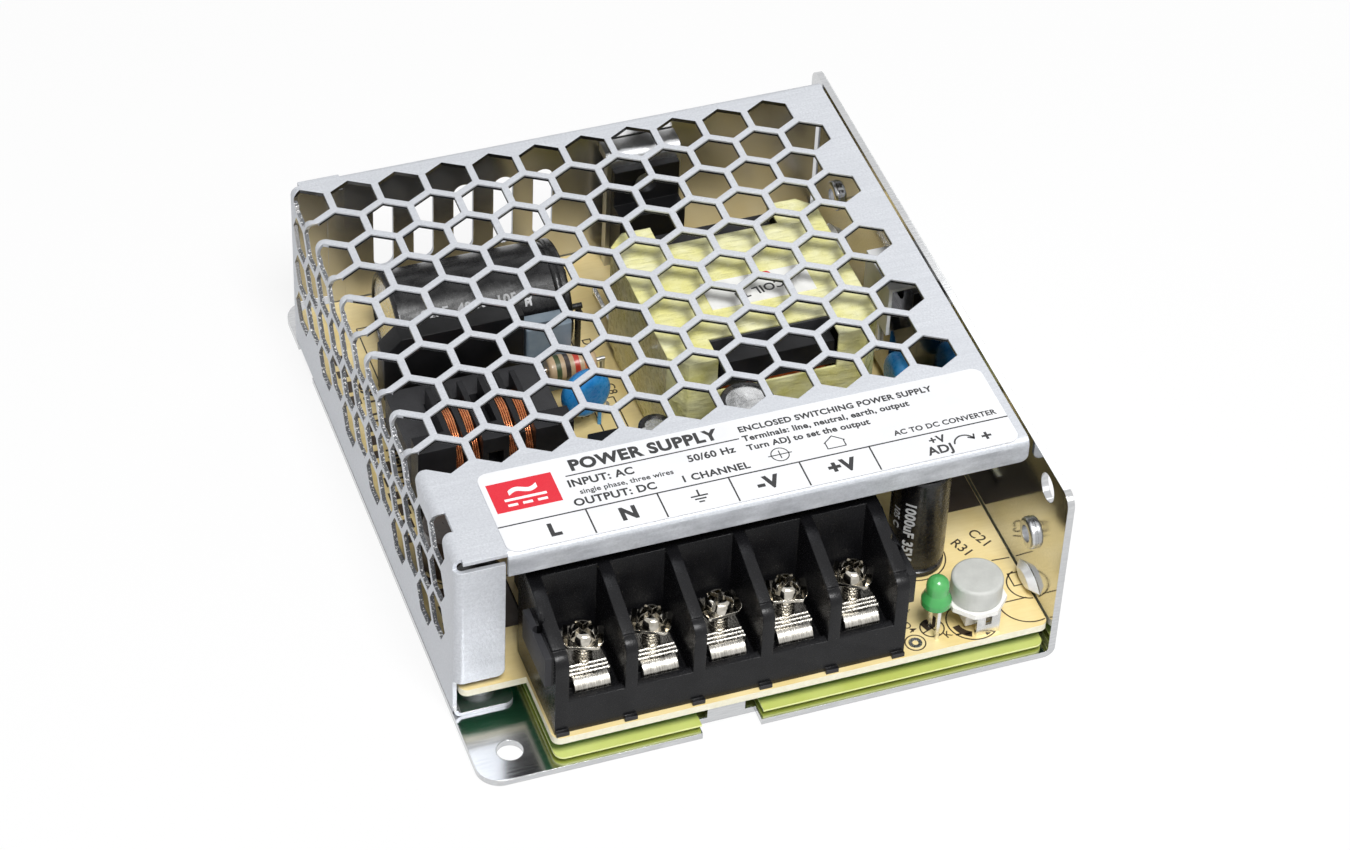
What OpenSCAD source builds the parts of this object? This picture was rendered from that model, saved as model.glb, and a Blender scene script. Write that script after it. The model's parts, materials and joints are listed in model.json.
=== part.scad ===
// Enclosed switching power supply: an L-shaped sheet chassis, a folded honeycomb cover,
// a circuit board with its parts and a five-way screw terminal block.
// Every place is measured from the front left bottom corner of the case, X to the right,
// Y to the rear and Z up. case_frame() then puts the origin under the middle of the case.

/* [Case] */
// Overall width
case_w = 82; // [80:0.5:96]
// Overall length of the base plate
case_l = 99; // [98:0.5:112]
// Overall height
case_h = 30; // [29.5:0.5:36]
// Thickness of the chassis sheet
chassis_t = 1.0; // [0.8:0.1:1.2]
// Thickness of the cover sheet
cover_t = 0.6; // [0.5:0.1:0.8]
// Inside radius of every bend
bend_r = 0.6; // [0.4:0.1:0.8]

/* [Chassis] */
// Length of the upright right wall
wall_l = 95.7; // [94:0.1:98]
// Radius of the base plate's corners
base_corner_r = 3.4; // [2:0.1:4]
// Radius of the right wall's top corners
wall_corner_r = 2; // [1:0.1:3]
// Diameter of the fixing hole in the front left foot
foot_hole_d = 3.6; // [3:0.1:4.5]
// Place of the fixing hole from the left edge
foot_hole_x = 5.3; // [4.5:0.1:6.5]
// Place of the fixing hole from the front edge
foot_hole_y = 4.9; // [4.5:0.1:6]
// Diameter of the clear hole in the right wall
side_hole_d = 4.2; // [3:0.1:5]
// Place of the clear hole from the front
side_hole_y = 6.4; // [5:0.1:8]
// Height of the clear hole
side_hole_z = 26.4; // [25:0.1:26.8]
// Minor diameter of the tapped collars in the right wall
side_tap_d = 2.5; // [2:0.1:3]
// Place of the front collar from the front
side_tap_y = 9.2; // [8.5:0.1:10]
// Distance between the two collars
side_tap_pitch = 74; // [70:0.5:76]
// Height of both collars
side_tap_z = 15.3; // [14.5:0.1:17]
// Outside diameter of a collar
collar_d = 4.6; // [4:0.1:5.5]
// Length that a collar stands inwards
collar_h = 0.9; // [0.7:0.1:1.2]
// Length of the pressed lugs that hold the board down
lug_w = 7.4; // [6:0.1:8]
// Height of the pressed lugs
lug_h = 3.1; // [2.4:0.1:3.4]
// Depth that a lug stands inwards
lug_depth = 1.1; // [0.8:0.1:1.4]
// Width of the notch in the front edge
front_notch_w = 8.4; // [7.5:0.1:10]
// Width of the tongue bent up behind that notch
tongue_w = 5.4; // [4:0.1:6.5]
// Distance of the tongue from the front edge
tongue_y = 2.5; // [2:0.1:3.5]
// Start of the notch in the left edge
edge_notch_y = 82.6; // [80:0.1:84]
// Length of that notch
edge_notch_l = 7.5; // [6:0.1:8.5]
// Depth of that notch
edge_notch_depth = 3.6; // [2.5:0.1:5]

/* [Cover] */
// Distance of the cover from the front edge of the base
cover_y = 12.3; // [12:0.1:13]
// Length of the cover
cover_l = 80.3; // [79.5:0.1:81]
// Gap between the cover and the right wall
cover_gap = 0.4; // [0.2:0.1:0.6]
// Depth of the lip folded down at the front
lip_h = 3.9; // [3:0.1:4.5]
// Radius of the lip's and the flaps' free corners
lip_corner_r = 1.1; // [0.6:0.1:2]
// Width of the flaps folded round from the left wall
flap_w = 6.9; // [6:0.1:7.2]
// Height of the front flap's lower edge
flap_z = 7.6; // [7:0.1:10]
// Slit that parts the flaps from the lip
slit = 0.35; // [0.2:0.05:0.6]
// Width across the flats of a honeycomb hole
hex_af = 6.0; // [5:0.1:6.2]
// Width of the web between two holes
hex_web = 1.0; // [0.8:0.1:1.6]
// Distance from the right edge to the middle of the first hole
hex_right = 9.5; // [8.5:0.1:10]
// Distance from the rear to the middle of the first row
hex_rear = 5.5; // [5:0.1:6.5]
// Plain strip at the front of the top
hex_front_top = 19.6; // [19:0.1:23]
// Plain strip at the front of the left wall
hex_front_side = 7.6; // [7:0.1:9]
// Plain strip at the foot of the left wall
hex_foot = 9.2; // [8.5:0.1:12]
// Width of a vent slot in the rear wall
slot_w = 3; // [2:0.1:3.6]
// Distance between vent slots
slot_pitch = 6.06; // [5.5:0.02:6.5]
// Number of vent slots
slots = 5; // [3:1:6]
// Middle of the first vent slot
slot_x = 13.7; // [12:0.1:15]
// Foot of the vent slots
slot_z0 = 11.2; // [10:0.1:13]
// Top of the vent slots
slot_z1 = 23.7; // [21:0.1:25]
// Length of the two feet folded inwards
foot_l = 8.6; // [7.5:0.1:10]
// Diameter of the screws through those feet
case_screw_d = 2.9; // [2.5:0.1:3.2]
// Head diameter of those screws
case_screw_head_d = 4.7; // [4.2:0.1:4.8]

/* [Label] */
// Thickness of the label
label_t = 0.1; // [0.08:0.01:0.2]
// Width of the label
label_w = 72; // [60:0.5:72]
// Depth of the label
label_l = 15; // [12:0.1:16]
// Radius of its corners
label_r = 1.5; // [0.5:0.1:3]

/* [Board] */
// Height of the board's underside
board_z = 5.0; // [4.6:0.1:5.4]
// Thickness of the board
board_t = 1.2; // [1:0.1:1.6]
// Distance of the board from the front edge of the base
board_front = 0.4; // [0.2:0.1:0.8]
// Gap between the board and the cover or wall beside it
board_gap = 0.2; // [0.15:0.05:0.4]
// Width of the cut-out over the front left foot
cutout_w = 9.9; // [9.5:0.1:10]
// Length of that cut-out
cutout_l = 12.3; // [12:0.1:14]
// Radius of the board's corners
board_r = 1.2; // [0.8:0.1:1.6]
// Thickness of the insulating film
film_t = 0.3; // [0.2:0.05:0.4]
// Height of the film's upper leaf
film_z = 2.7; // [2.4:0.1:3.5]
// Distance of the film's left edge from the left side
film_left = 10.2; // [9:0.1:10.6]

/* [Terminal block] */
// Number of terminals
poles = 5; // [5:1:5]
// Distance between terminals
pole_pitch = 9.5; // [9.3:0.05:9.6]
// Front of the block
block_y = 1.2; // [1:0.1:1.6]
// Depth of the block
block_l = 16; // [15.5:0.1:17]
// Height of the block above the board
block_h = 17.2; // [16.6:0.1:18]
// Height of the partitions at the front
partition_front_h = 13.8; // [13:0.1:14.6]
// Thickness of a partition
partition_t = 1.7; // [1.4:0.1:1.9]
// Radius of a partition's front corner
partition_r = 1.8; // [1:0.1:2.4]
// Height of the front sill above the board
sill_h = 5.9; // [5.6:0.1:6.2]
// Thickness of the front sill
sill_t = 1.2; // [1:0.1:1.5]
// Height of the floor in front of that seat
bay_floor = 4.6; // [4.2:0.1:4.8]
// Height of the seat under a terminal plate
seat_h = 6.1; // [5.9:0.1:6.3]
// Width of a terminal plate
plate_w = 5.8; // [5.4:0.1:6.4]
// Thickness of a terminal plate
plate_t = 0.9; // [0.8:0.1:1]
// Outside radius of the roll at the front of a terminal plate
plate_roll = 1.9; // [1.4:0.1:2]
// Width of that roll
roll_w = 4.9; // [4.4:0.1:5.2]
// Length of a terminal plate
plate_l = 10; // [9.5:0.1:10.4]
// Distance of a terminal's screw from the block's front
screw_y = 6.2; // [5.8:0.1:6.4]
// Shank diameter of a terminal screw
screw_d = 2.6; // [2.4:0.1:2.8]
// Running clearance round the shank in the plate
screw_clear = 0.06; // [0.04:0.01:0.1]
// Head diameter of a terminal screw
screw_head_d = 3.9; // [3.6:0.1:4.4]
// Height of that head
screw_head_h = 1.7; // [1.4:0.1:1.9]
// Length of the shank below the washer
screw_l = 5.4; // [5:0.1:5.8]
// Width of the clamping washer over its wings
washer_w = 5.4; // [5:0.1:6]
// Depth of that washer
washer_l = 3.9; // [3.8:0.1:4.6]
// Thickness of that washer
washer_t = 0.5; // [0.4:0.1:0.6]
// Height that its wings are turned up
wing_h = 0.6; // [0.3:0.1:0.8]
// Height of the undone washer above the plate
washer_lift = 3.3; // [3:0.1:3.5]

/* [Front row] */
// Part of the row's spare width that lies to the left of the terminal block
row_left = 0.3276; // [0.31:0.0001:0.34]
// Part of that width between the terminal block and the lamp
row_lamp = 0.1907; // [0.16:0.0001:0.22]
// Distance between the lamp and the trimmer
lamp_pitch = 6.2; // [6.1:0.1:6.4]
// Place of the indicator lamp from the front
led_y = 3.7; // [3.4:0.1:4.4]
// Diameter of the lamp
led_d = 3.2; // [2.8:0.1:3.4]
// Diameter of the lamp's skirt
led_skirt_d = 4.2; // [3.8:0.1:4.6]
// Height of the lamp's skirt above the board
led_lift = 5.8; // [5.2:0.1:6.2]
// Place of the trimmer from the front
trimmer_y = 4.5; // [4.4:0.1:5]
// Diameter of the trimmer's knob
knob_d = 7.2; // [6.4:0.1:7.6]
// Height of the knob
knob_h = 3.4; // [3:0.1:4]
// Height of the knob's seat above the board
trimmer_seat = 4.8; // [4.4:0.1:5]

/* [Board parts] */
// Diameter of the two output capacitors
output_cap_d = 8; // [7:0.1:8.4]
// Height of the two output capacitors
output_cap_h = 18; // [16:0.5:20]
// Diameter of the lying input capacitor
bulk_d = 16; // [14:0.5:16]
// Length of the lying input capacitor
bulk_l = 25.6; // [24:0.2:26]
// Width of the black box capacitor
xcap_w = 17.6; // [15:0.2:18]
// Depth of the black box capacitor
xcap_l = 7.6; // [6:0.1:8]
// Height of the black box capacitor
xcap_h = 13.6; // [12:0.2:16]
// Length of the choke's core
choke_l = 22.4; // [21.5:0.1:23]
// Diameter over the choke's windings
choke_d = 12.4; // [11.4:0.1:12.6]
// Width of the transformer's core
core_w = 30; // [28:0.2:30.4]
// Depth of the transformer's core
core_d = 21; // [19:0.1:21.4]
// Height of the transformer's core
core_h = 18.8; // [17.5:0.1:19.6]
// Width of a power device
device_w = 10; // [9:0.1:10.4]
// Thickness of a power device with its tab
device_t = 4.4; // [4:0.1:4.8]
// Height of a power device's moulded body
device_h = 9; // [8:0.1:9.4]
// Height of a power device with its tab
device_tab_h = 15.2; // [14:0.1:15.6]
// Width of the heatsink plate
heatsink_w = 11.4; // [10.5:0.1:12]
// Diameter of the round fuse
fuse_d = 8.4; // [7.5:0.1:8.6]
// Height of the round fuse
fuse_h = 7.6; // [7:0.1:8.5]
// Diameter of the sleeved output choke
coil_d = 9.2; // [8:0.1:9.6]
// Height of the sleeved output choke
coil_h = 11; // [10:0.1:12.5]
// Diameter of the small auxiliary capacitor
aux_d = 5; // [4.5:0.1:5.2]
// Height of the small auxiliary capacitor
aux_h = 11; // [10:0.1:12]
// Length of the wire bridges
bridge_wire_l = 8; // [7:0.1:9]

/* [Hidden] */
$fn = 48;
// Overlap that keeps cuts clean
e = 0.5;

// Chassis
base_r = bend_r + chassis_t;
wall_in = case_w - chassis_t;

// Cover
cover_r = bend_r + cover_t;
cover_right = wall_in - cover_gap;
cover_rear = cover_y + cover_l;
lip_x = flap_w + slit;
cover_foot_z = chassis_t;
hex_pitch = hex_af + hex_web;
hex_row = hex_pitch * sqrt(3) / 2;
hex_d = hex_af * 2 / sqrt(3);
// Length that the fold at the left takes out of the flat pattern
hex_fold = 0.5;
top_rows = floor((cover_l - hex_rear - hex_front_top) / hex_row) + 1;
side_rows = floor((cover_l - hex_rear - hex_front_side) / hex_row) + 1;
case_screw_clear = 0.06;
// Places of the two screws that hold the cover's feet, from the cover's corners
front_foot_x = 4.6;
front_foot_y = cover_y + 5;
rear_foot_x = cover_right - 10;
rear_foot_y = cover_rear - cover_r - 4.4;
foot_w = 8;
foot_collar_d = 4.8;
foot_collar_h = 1.2;

// Board
board_top = board_z + board_t;
board_left = cover_t + board_gap;
board_right = wall_in - board_gap;
board_rear = cover_rear - cover_t - board_gap;
lug_z = board_top + 0.05;
post_d = 6;
film_rear = rear_foot_y - foot_l / 2 - 1.6;
film_right = board_right - 0.5;
post_clear = 0.6;
posts = [[14, 40], [14, 78], [60, 78]];

// Terminal block
block_w = poles * pole_pitch + partition_t + 0.3;
ear_w = 1.2;
ear_h = 5.2;
ear_l = 9.5;
ear_hole_d = 1.5;
bay_w = pole_pitch - partition_t;
bay_l = block_l - 3.6;
seat_z = board_top + seat_h;
plate_top = seat_z + plate_t;
plate_y = block_y + sill_t + 0.2;
washer_z = plate_top + washer_lift;
washer_hole_d = screw_d + 0.6;
// Angle at which each washer rests
washer_turn = [-18, -24, 4, -12, -30];

// Front row from left to right: block, lamp and trimmer share the spare width
trimmer_rim = 1.4;
trimmer_flange = 0.8;
trimmer_half = (knob_d + trimmer_rim) / 2 * cos(22.5);
row_fixed = flap_w + block_w + ear_w + led_skirt_d / 2 + lamp_pitch + trimmer_half;
row_spare = wall_in - collar_h - row_fixed;
block_x = flap_w + row_left * row_spare + block_w / 2;
led_x = block_x + block_w / 2 + ear_w + row_lamp * row_spare + led_skirt_d / 2;
trimmer_x = led_x + lamp_pitch;
tongue_x = block_x;
function pole_x(n) = block_x + (n - (poles + 1) / 2) * pole_pitch;

// Trimmer
knob_z = board_top + trimmer_seat;
knob_gap = 0.1;
spigot_d = 2.4;
spigot_clear = 0.06;

// Board parts, each with its middle or its near left corner
output_front_share = 0.3057;
output_front_spare = wall_in - block_x - block_w / 2 - output_cap_d;
output_front = [block_x + block_w / 2 + output_front_share * output_front_spare + output_cap_d / 2, 17.6];
output_rear = [49.4, 36.6];
bulk_at = [9.3, 75.8];
bulk_lift = 0.2;
xcap_at = [13.8, 22.6];
film_cap_at = [30, 66];
film_cap_size = [6.8, 3.2, 12.5];
choke_at = [4.6, 50.6];
disc_d = 7.6;
disc_t = 3.2;
disc_lift = 2;
disc_left_lift = 3.4;
resistor_size = [7.2, 3.8];
resistor_lift = 6.6;
// Middle row from left to right: choke, disc and transformer share the width up to the rectifier's clip
clip_t = 0.5;
disc_half = disc_d / 2 + 0.3;
core_half = core_w / 2 + 0.6;
mid_left = choke_at[0] + choke_l;
mid_spare = wall_in - device_t - clip_t - mid_left - 2 * disc_half - 2 * core_half;
disc_share = 0.1413;
core_share = 0.457;
disc_left_at = [mid_left + disc_share * mid_spare + disc_half, 55.4];
disc_right_at = [wall_in - disc_t / 2 - 2.5, 46.6];
resistor_at = [disc_left_at[0] - 3.6, 62.1];
transformer_at = [disc_left_at[0] + disc_half + core_share * mid_spare + core_half, 58.4];
heatsink_at = [46.4, 88];
rectifier_y = 55.8;
limiter_at = [7.5, 26];
fuse_at = [7, 36];
bridge_at = [5.6, 64.2];
bridge_size = [20.6, 3.4, 11];
bridge_lift = 5;
bridge_chamfer = 2.6;
opto_at = [31, 43.6];
output_choke_at = [61.5, 31];
aux_at = [38.4, 42.6];
wire_d = 0.6;
wire_lift = 0.5;
bridge_wires = [[43, 74.6], [wall_in - 3.9, 28], [wall_in - 7.1, 76]];

module case_frame() {
    translate([-case_w / 2, -case_l / 2, 0]) children();
}

// What is left over between a square corner and its round, for a corner that opens at angle a
module corner_cut(x, y, r, a) {
    translate([x, y]) rotate(a) difference() {
        translate([-e, -e]) square(r + e);
        translate([r, r]) circle(r);
    }
}

// Rectangle with four round corners
module round_rect(w, l, r) {
    difference() {
        square([w, l]);
        corner_cut(0, 0, r, 0);
        corner_cut(w, 0, r, 90);
        corner_cut(w, l, r, 180);
        corner_cut(0, l, r, 270);
    }
}

// Box with round upright edges
module round_box(size, r) {
    linear_extrude(size[2]) round_rect(size[0], size[1], r);
}

// Quarter of a sheet's bend in the first quadrant of its section, length l along Z
module bend(t, l) {
    linear_extrude(l) intersection() {
        difference() {
            circle(bend_r + t);
            circle(bend_r);
        }
        square(bend_r + t + e);
    }
}

// Stands a profile drawn in Y and Z upright, and runs it along X
module along_x(l) {
    rotate([90, 0, 90]) linear_extrude(l) children();
}

// Stands a profile drawn in X and Z upright, and runs it along Y
module along_y(l) {
    translate([0, l, 0]) rotate([90, 0, 0]) linear_extrude(l) children();
}

// Pointed oval outline of a pressed lug
module eye(w, h) {
    r = (w * w + h * h) / (4 * w);
    intersection() {
        translate([r - w / 2, 0]) circle(r);
        translate([w / 2 - r, 0]) circle(r);
    }
}

// Base plate seen from above
module base_outline() {
    difference() {
        square([case_w - base_r, case_l]);
        corner_cut(0, 0, base_corner_r, 0);
        corner_cut(0, case_l, base_corner_r, 270);
        corner_cut(case_w - base_r, case_l, base_corner_r, 180);
        translate([tongue_x - front_notch_w / 2, -e]) square([front_notch_w, tongue_y + e]);
        translate([-e, edge_notch_y]) square([edge_notch_depth + e, edge_notch_l]);
        translate([foot_hole_x, foot_hole_y]) circle(d = foot_hole_d);
        for (p = [[front_foot_x, front_foot_y], [rear_foot_x, rear_foot_y]])
            translate(p) circle(d = case_screw_d + 2 * case_screw_clear);
        for (p = posts)
            translate(p) circle(d = post_d - 2 * chassis_t);
    }
}

// Right wall seen from the left, Y across and Z up
module wall_outline() {
    difference() {
        translate([0, base_r]) square([wall_l, case_h - base_r]);
        corner_cut(0, case_h, wall_corner_r, 270);
        corner_cut(wall_l, case_h, wall_corner_r, 180);
        translate([side_hole_y, side_hole_z]) circle(d = side_hole_d);
        for (y = [side_tap_y, side_tap_y + side_tap_pitch])
            translate([y, side_tap_z]) circle(d = side_tap_d);
    }
}

// Cone of a flush screw head, wide end down
module flush_cone(grow) {
    cylinder(d1 = case_screw_head_d + 2 * grow, d2 = case_screw_d + 2 * grow,
        h = (case_screw_head_d - case_screw_d) / 2);
}

module chassis() color("silver") case_frame() {
    difference() {
        linear_extrude(chassis_t) base_outline();
        for (p = [[front_foot_x, front_foot_y], [rear_foot_x, rear_foot_y]])
            translate([p[0], p[1], 0]) flush_cone(case_screw_clear);
    }
    translate([case_w - base_r, wall_l, base_r]) rotate([90, 90, 0]) bend(chassis_t, wall_l);
    translate([wall_in, 0, 0]) along_x(chassis_t) wall_outline();
    for (y = [side_tap_y, side_tap_y + side_tap_pitch])
        translate([wall_in - collar_h, y, side_tap_z]) rotate([0, 90, 0]) rotate_extrude() difference() {
            translate([side_tap_d / 2, 0]) square([(collar_d - side_tap_d) / 2, collar_h]);
            corner_cut(collar_d / 2, 0, 0.5, 90);
        }
    for (y = [side_tap_y - 1.2, side_tap_y + side_tap_pitch - 1.2])
        translate([wall_in, y, lug_z + lug_h / 2]) rotate([90, 0, -90]) linear_extrude(lug_depth, scale = 0.6)
            rotate(90) eye(lug_h, lug_w);
    translate([tongue_x - tongue_w / 2, tongue_y, 0]) along_x(tongue_w) difference() {
        square([chassis_t, board_z]);
        corner_cut(0, 0, chassis_t * 0.9, 0);
    }
    for (p = posts)
        translate([p[0], p[1], chassis_t]) difference() {
            cylinder(d = post_d, h = board_z - chassis_t);
            translate([0, 0, -e])
                cylinder(d = post_d - 2 * chassis_t, h = board_z - chassis_t - chassis_t / 2 + e);
        }
}

// Section of the top, the front lip and the rear wall, Y across and Z up
module lip_section() {
    difference() {
        translate([cover_y, cover_foot_z]) square([cover_l, case_h - cover_foot_z]);
        corner_cut(cover_y, case_h, cover_r, 270);
        corner_cut(cover_rear, case_h, cover_r, 180);
        difference() {
            translate([cover_y + cover_t, -e]) square([cover_l - 2 * cover_t, case_h - cover_t + e]);
            corner_cut(cover_y + cover_t, case_h - cover_t, bend_r, 270);
            corner_cut(cover_rear - cover_t, case_h - cover_t, bend_r, 180);
        }
        translate([cover_y - e, -e]) square([cover_t + 2 * e, case_h - lip_h + e]);
    }
}

// Section of the top and the left wall, X across and Z up
module left_section() {
    difference() {
        translate([0, cover_foot_z + slit]) square([lip_x, case_h - cover_foot_z - slit]);
        corner_cut(0, case_h, cover_r, 270);
        difference() {
            translate([cover_t, -e]) square([lip_x, case_h - cover_t + e]);
            corner_cut(cover_t, case_h - cover_t, bend_r, 270);
        }
    }
}

// Flap folded round from the left wall, seen from the front
module flap_outline() {
    difference() {
        translate([cover_r, flap_z]) square([flap_w - cover_r, case_h - cover_r - slit - flap_z]);
        corner_cut(flap_w, flap_z, lip_corner_r, 90);
    }
}

// The two flaps with their bends
module flaps() {
    flap_top = case_h - cover_r - slit;
    translate([0, cover_y, 0]) along_y(cover_t) flap_outline();
    translate([0, cover_rear - cover_t, 0]) along_y(cover_t) flap_outline();
    translate([cover_r, cover_y + cover_r, flap_z]) rotate(180) bend(cover_t, flap_top - flap_z);
    translate([cover_r, cover_rear - cover_r, flap_z]) rotate(90) bend(cover_t, flap_top - flap_z);
}

// Foot with its tapped collar, seen from the corner where it is folded, running along X and Y
module foot(l, w, hole) {
    difference() {
        union() {
            linear_extrude(cover_t) difference() {
                square([l, w]);
                corner_cut(l, 0, 1.5, 90);
                corner_cut(l, w, 1.5, 180);
            }
            translate([hole[0], hole[1], 0]) cylinder(d = foot_collar_d, h = cover_t + foot_collar_h);
        }
        translate([hole[0], hole[1], -e])
            cylinder(d = case_screw_d + 2 * case_screw_clear, h = 4 * foot_collar_h);
    }
}

// Honeycomb holes through the top and the left wall, which run on round the fold between them
module honeycomb() {
    first_x = cover_right - hex_right;
    cut = cover_r + e;
    for (r = [0:max(top_rows, side_rows) - 1]) {
        y = cover_rear - hex_rear - r * hex_row;
        row_x = first_x + (r % 2) * hex_pitch / 2;
        for (k = [0:ceil((row_x + case_h) / hex_pitch)]) {
            x = row_x - k * hex_pitch;
            z = case_h - hex_fold + x;
            if (r < top_rows && x > -hex_af / 2)
                translate([x, y, case_h - cut]) rotate(30) cylinder(d = hex_d, h = cut + e, $fn = 6);
            if (r < side_rows && z > hex_foot && z < case_h + (r < top_rows ? hex_af / 2 : -hex_af / 4))
                translate([-e, y, z]) rotate([0, 90, 0]) rotate(30) cylinder(d = hex_d, h = cut + e, $fn = 6);
        }
    }
}

// Vent slots in the rear wall
module vent_slots() {
    for (i = [0:slots - 1])
        translate([slot_x + i * slot_pitch, cover_rear - cover_t - e, 0]) along_y(cover_t + 2 * e) union() {
            translate([-slot_w / 2, slot_z0 + slot_w / 2]) square([slot_w, slot_z1 - slot_z0 - slot_w]);
            translate([0, slot_z0 + slot_w / 2]) circle(d = slot_w);
            translate([0, slot_z1 - slot_w / 2]) circle(d = slot_w);
        }
}

module cover() color("gainsboro") case_frame() difference() {
    union() {
        translate([lip_x, 0, 0]) along_x(cover_right - lip_x) lip_section();
        translate([0, cover_y + cover_r, 0]) along_y(cover_l - 2 * cover_r) left_section();
        for (y = [cover_y + slit, cover_rear - cover_r])
            translate([cover_r, y, case_h - cover_t]) cube([lip_x - cover_r, cover_r - slit, cover_t]);
        flaps();
        translate([cover_r, cover_y + slit, cover_foot_z])
            foot(foot_l - cover_r, 2 * (front_foot_y - cover_y - slit),
                [front_foot_x - cover_r, front_foot_y - cover_y - slit]);
        translate([cover_r, cover_y + slit, cover_foot_z + cover_r])
            rotate([-90, 0, 0]) rotate(90) bend(cover_t, 2 * (front_foot_y - cover_y - slit));
        translate([rear_foot_x + foot_w / 2, cover_rear - cover_t, cover_foot_z]) rotate(180) rotate(0)
            translate([foot_w, 0, 0]) rotate(90)
                foot(cover_rear - cover_t - rear_foot_y + foot_l / 2, foot_w,
                    [cover_rear - cover_t - rear_foot_y, foot_w / 2]);
    }
    honeycomb();
    vent_slots();
    translate([cover_right, cover_y - e, case_h - lip_h]) rotate([-90, 0, 0]) linear_extrude(cover_t + 2 * e)
        corner_cut(0, 0, lip_corner_r, 180);
}

label_right = cover_right - 1.2;
label_fit = min(label_w, label_right - cover_r);

module label() color("white") case_frame()
    translate([label_right - label_fit, cover_y + 0.3, case_h])
        round_box([label_fit, label_l, label_t], label_r);

module cover_screws() color("silver") case_frame()
    for (p = [[front_foot_x, front_foot_y], [rear_foot_x, rear_foot_y]])
        translate([p[0], p[1], 0]) {
            flush_cone(0);
            cylinder(d = case_screw_d, h = chassis_t + cover_t + foot_collar_h + 0.4);
        }

// One leaf of the film, seen from above
module film_outline(front) {
    difference() {
        translate([film_left, front]) square([film_right - film_left, film_rear - front]);
        corner_cut(film_right, front, 1.2, 90);
        corner_cut(film_left, front, 1.4, 0);
        translate([tongue_x - front_notch_w / 2 - 0.2, -e])
            square([front_notch_w + 0.4, tongue_y + chassis_t + 0.6 + e]);
        for (p = posts)
            translate(p) circle(d = post_d + 2 * post_clear);
    }
}

module insulation_film() color("yellowgreen") case_frame() {
    fold_r = (film_z - chassis_t) / 2;
    translate([0, 0, chassis_t]) linear_extrude(film_t) film_outline(0.2);
    translate([0, 0, film_z - film_t]) linear_extrude(film_t) film_outline(0.05);
    translate([film_left, film_rear, chassis_t + fold_r]) along_x(film_right - film_left) intersection() {
        difference() {
            circle(fold_r);
            circle(fold_r - film_t);
        }
        translate([0, -2 * fold_r]) square([2 * fold_r, 4 * fold_r]);
    }
}

module circuit_board() color("burlywood") case_frame()
    translate([0, 0, board_z]) linear_extrude(board_t) difference() {
        translate([board_left, board_front]) square([board_right - board_left, board_rear - board_front]);
        translate([-e, -e]) square([cutout_w + e, cutout_l + e]);
        corner_cut(cutout_w, board_front, board_r, 0);
        corner_cut(board_right, board_front, board_r, 90);
        corner_cut(board_left, cutout_l, board_r, 0);
        corner_cut(board_right, board_rear, board_r, 180);
        corner_cut(board_left, board_rear, board_r, 270);
    }

// Side of a partition, Y across and Z up from the board
module partition_outline() {
    slope_y = block_l - 5;
    difference() {
        polygon([[0, 0], [0, partition_front_h], [slope_y, block_h], [block_l, block_h], [block_l, 0]]);
        corner_cut(0, partition_front_h + partition_r * 0.12, partition_r, 270);
    }
}

module terminal_block() color("#202022") case_frame() translate([block_x, block_y, board_top]) difference() {
    union() {
        translate([-block_w / 2, 0, 0]) along_x(block_w) partition_outline();
        for (x = [-block_w / 2 - ear_w, block_w / 2])
            translate([x, 1, partition_front_h - ear_h]) cube([ear_w, ear_l, ear_h]);
        for (i = [0:poles])
            translate([(i - poles / 2) * pole_pitch - 0.9, -0.6, 0]) cube([1.8, 0.6 + e, 0.7]);
    }
    for (n = [1:poles])
        translate([(n - (poles + 1) / 2) * pole_pitch, 0, 0]) {
            difference() {
                union() {
                    translate([-bay_w / 2, sill_t, bay_floor]) cube([bay_w, bay_l - sill_t, block_h]);
                    translate([-bay_w / 2, -e, sill_h]) cube([bay_w, bay_l + e, block_h]);
                }
                translate([-plate_w / 2, plate_y - block_y + plate_roll, 0]) cube([plate_w, bay_l, seat_h]);
            }
            translate([0, screw_y, 1]) cylinder(d = screw_d + 2, h = seat_h);
        }
    for (s = [-1, 1])
        translate([s * (block_w / 2 + ear_w / 2 - 0.3), ear_l - 3, partition_front_h - 2])
            cylinder(d = ear_hole_d, h = block_h);
}

// Terminal plate number n: a strip with a narrower roll down at the front, grip ridges and a tapped hole
module terminal_plate(n) color("gainsboro") case_frame() translate([pole_x(n), plate_y, seat_z]) {
    ridge = 0.25;
    difference() {
        union() {
            along_x_centred(plate_w) union() {
                translate([plate_roll, 0]) square([plate_l - plate_roll, plate_t]);
                for (i = [0:2])
                    translate([plate_roll + 0.3 + i * 0.7, plate_t - 0.1]) circle(ridge);
            }
            along_x_centred(roll_w) difference() {
                intersection() {
                    translate([plate_roll, plate_t - plate_roll]) circle(plate_roll);
                    translate([-e, plate_t - plate_roll]) square(plate_roll + e);
                }
                translate([plate_roll, plate_t - plate_roll]) circle(plate_roll - plate_t);
            }
        }
        translate([0, screw_y - (plate_y - block_y), -e])
            cylinder(d = screw_d + 2 * screw_clear, h = plate_t + 2 * e);
    }
}

// As along_x, with the run centred on the middle
module along_x_centred(l) {
    translate([-l / 2, 0, 0]) along_x(l) children();
}

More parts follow.
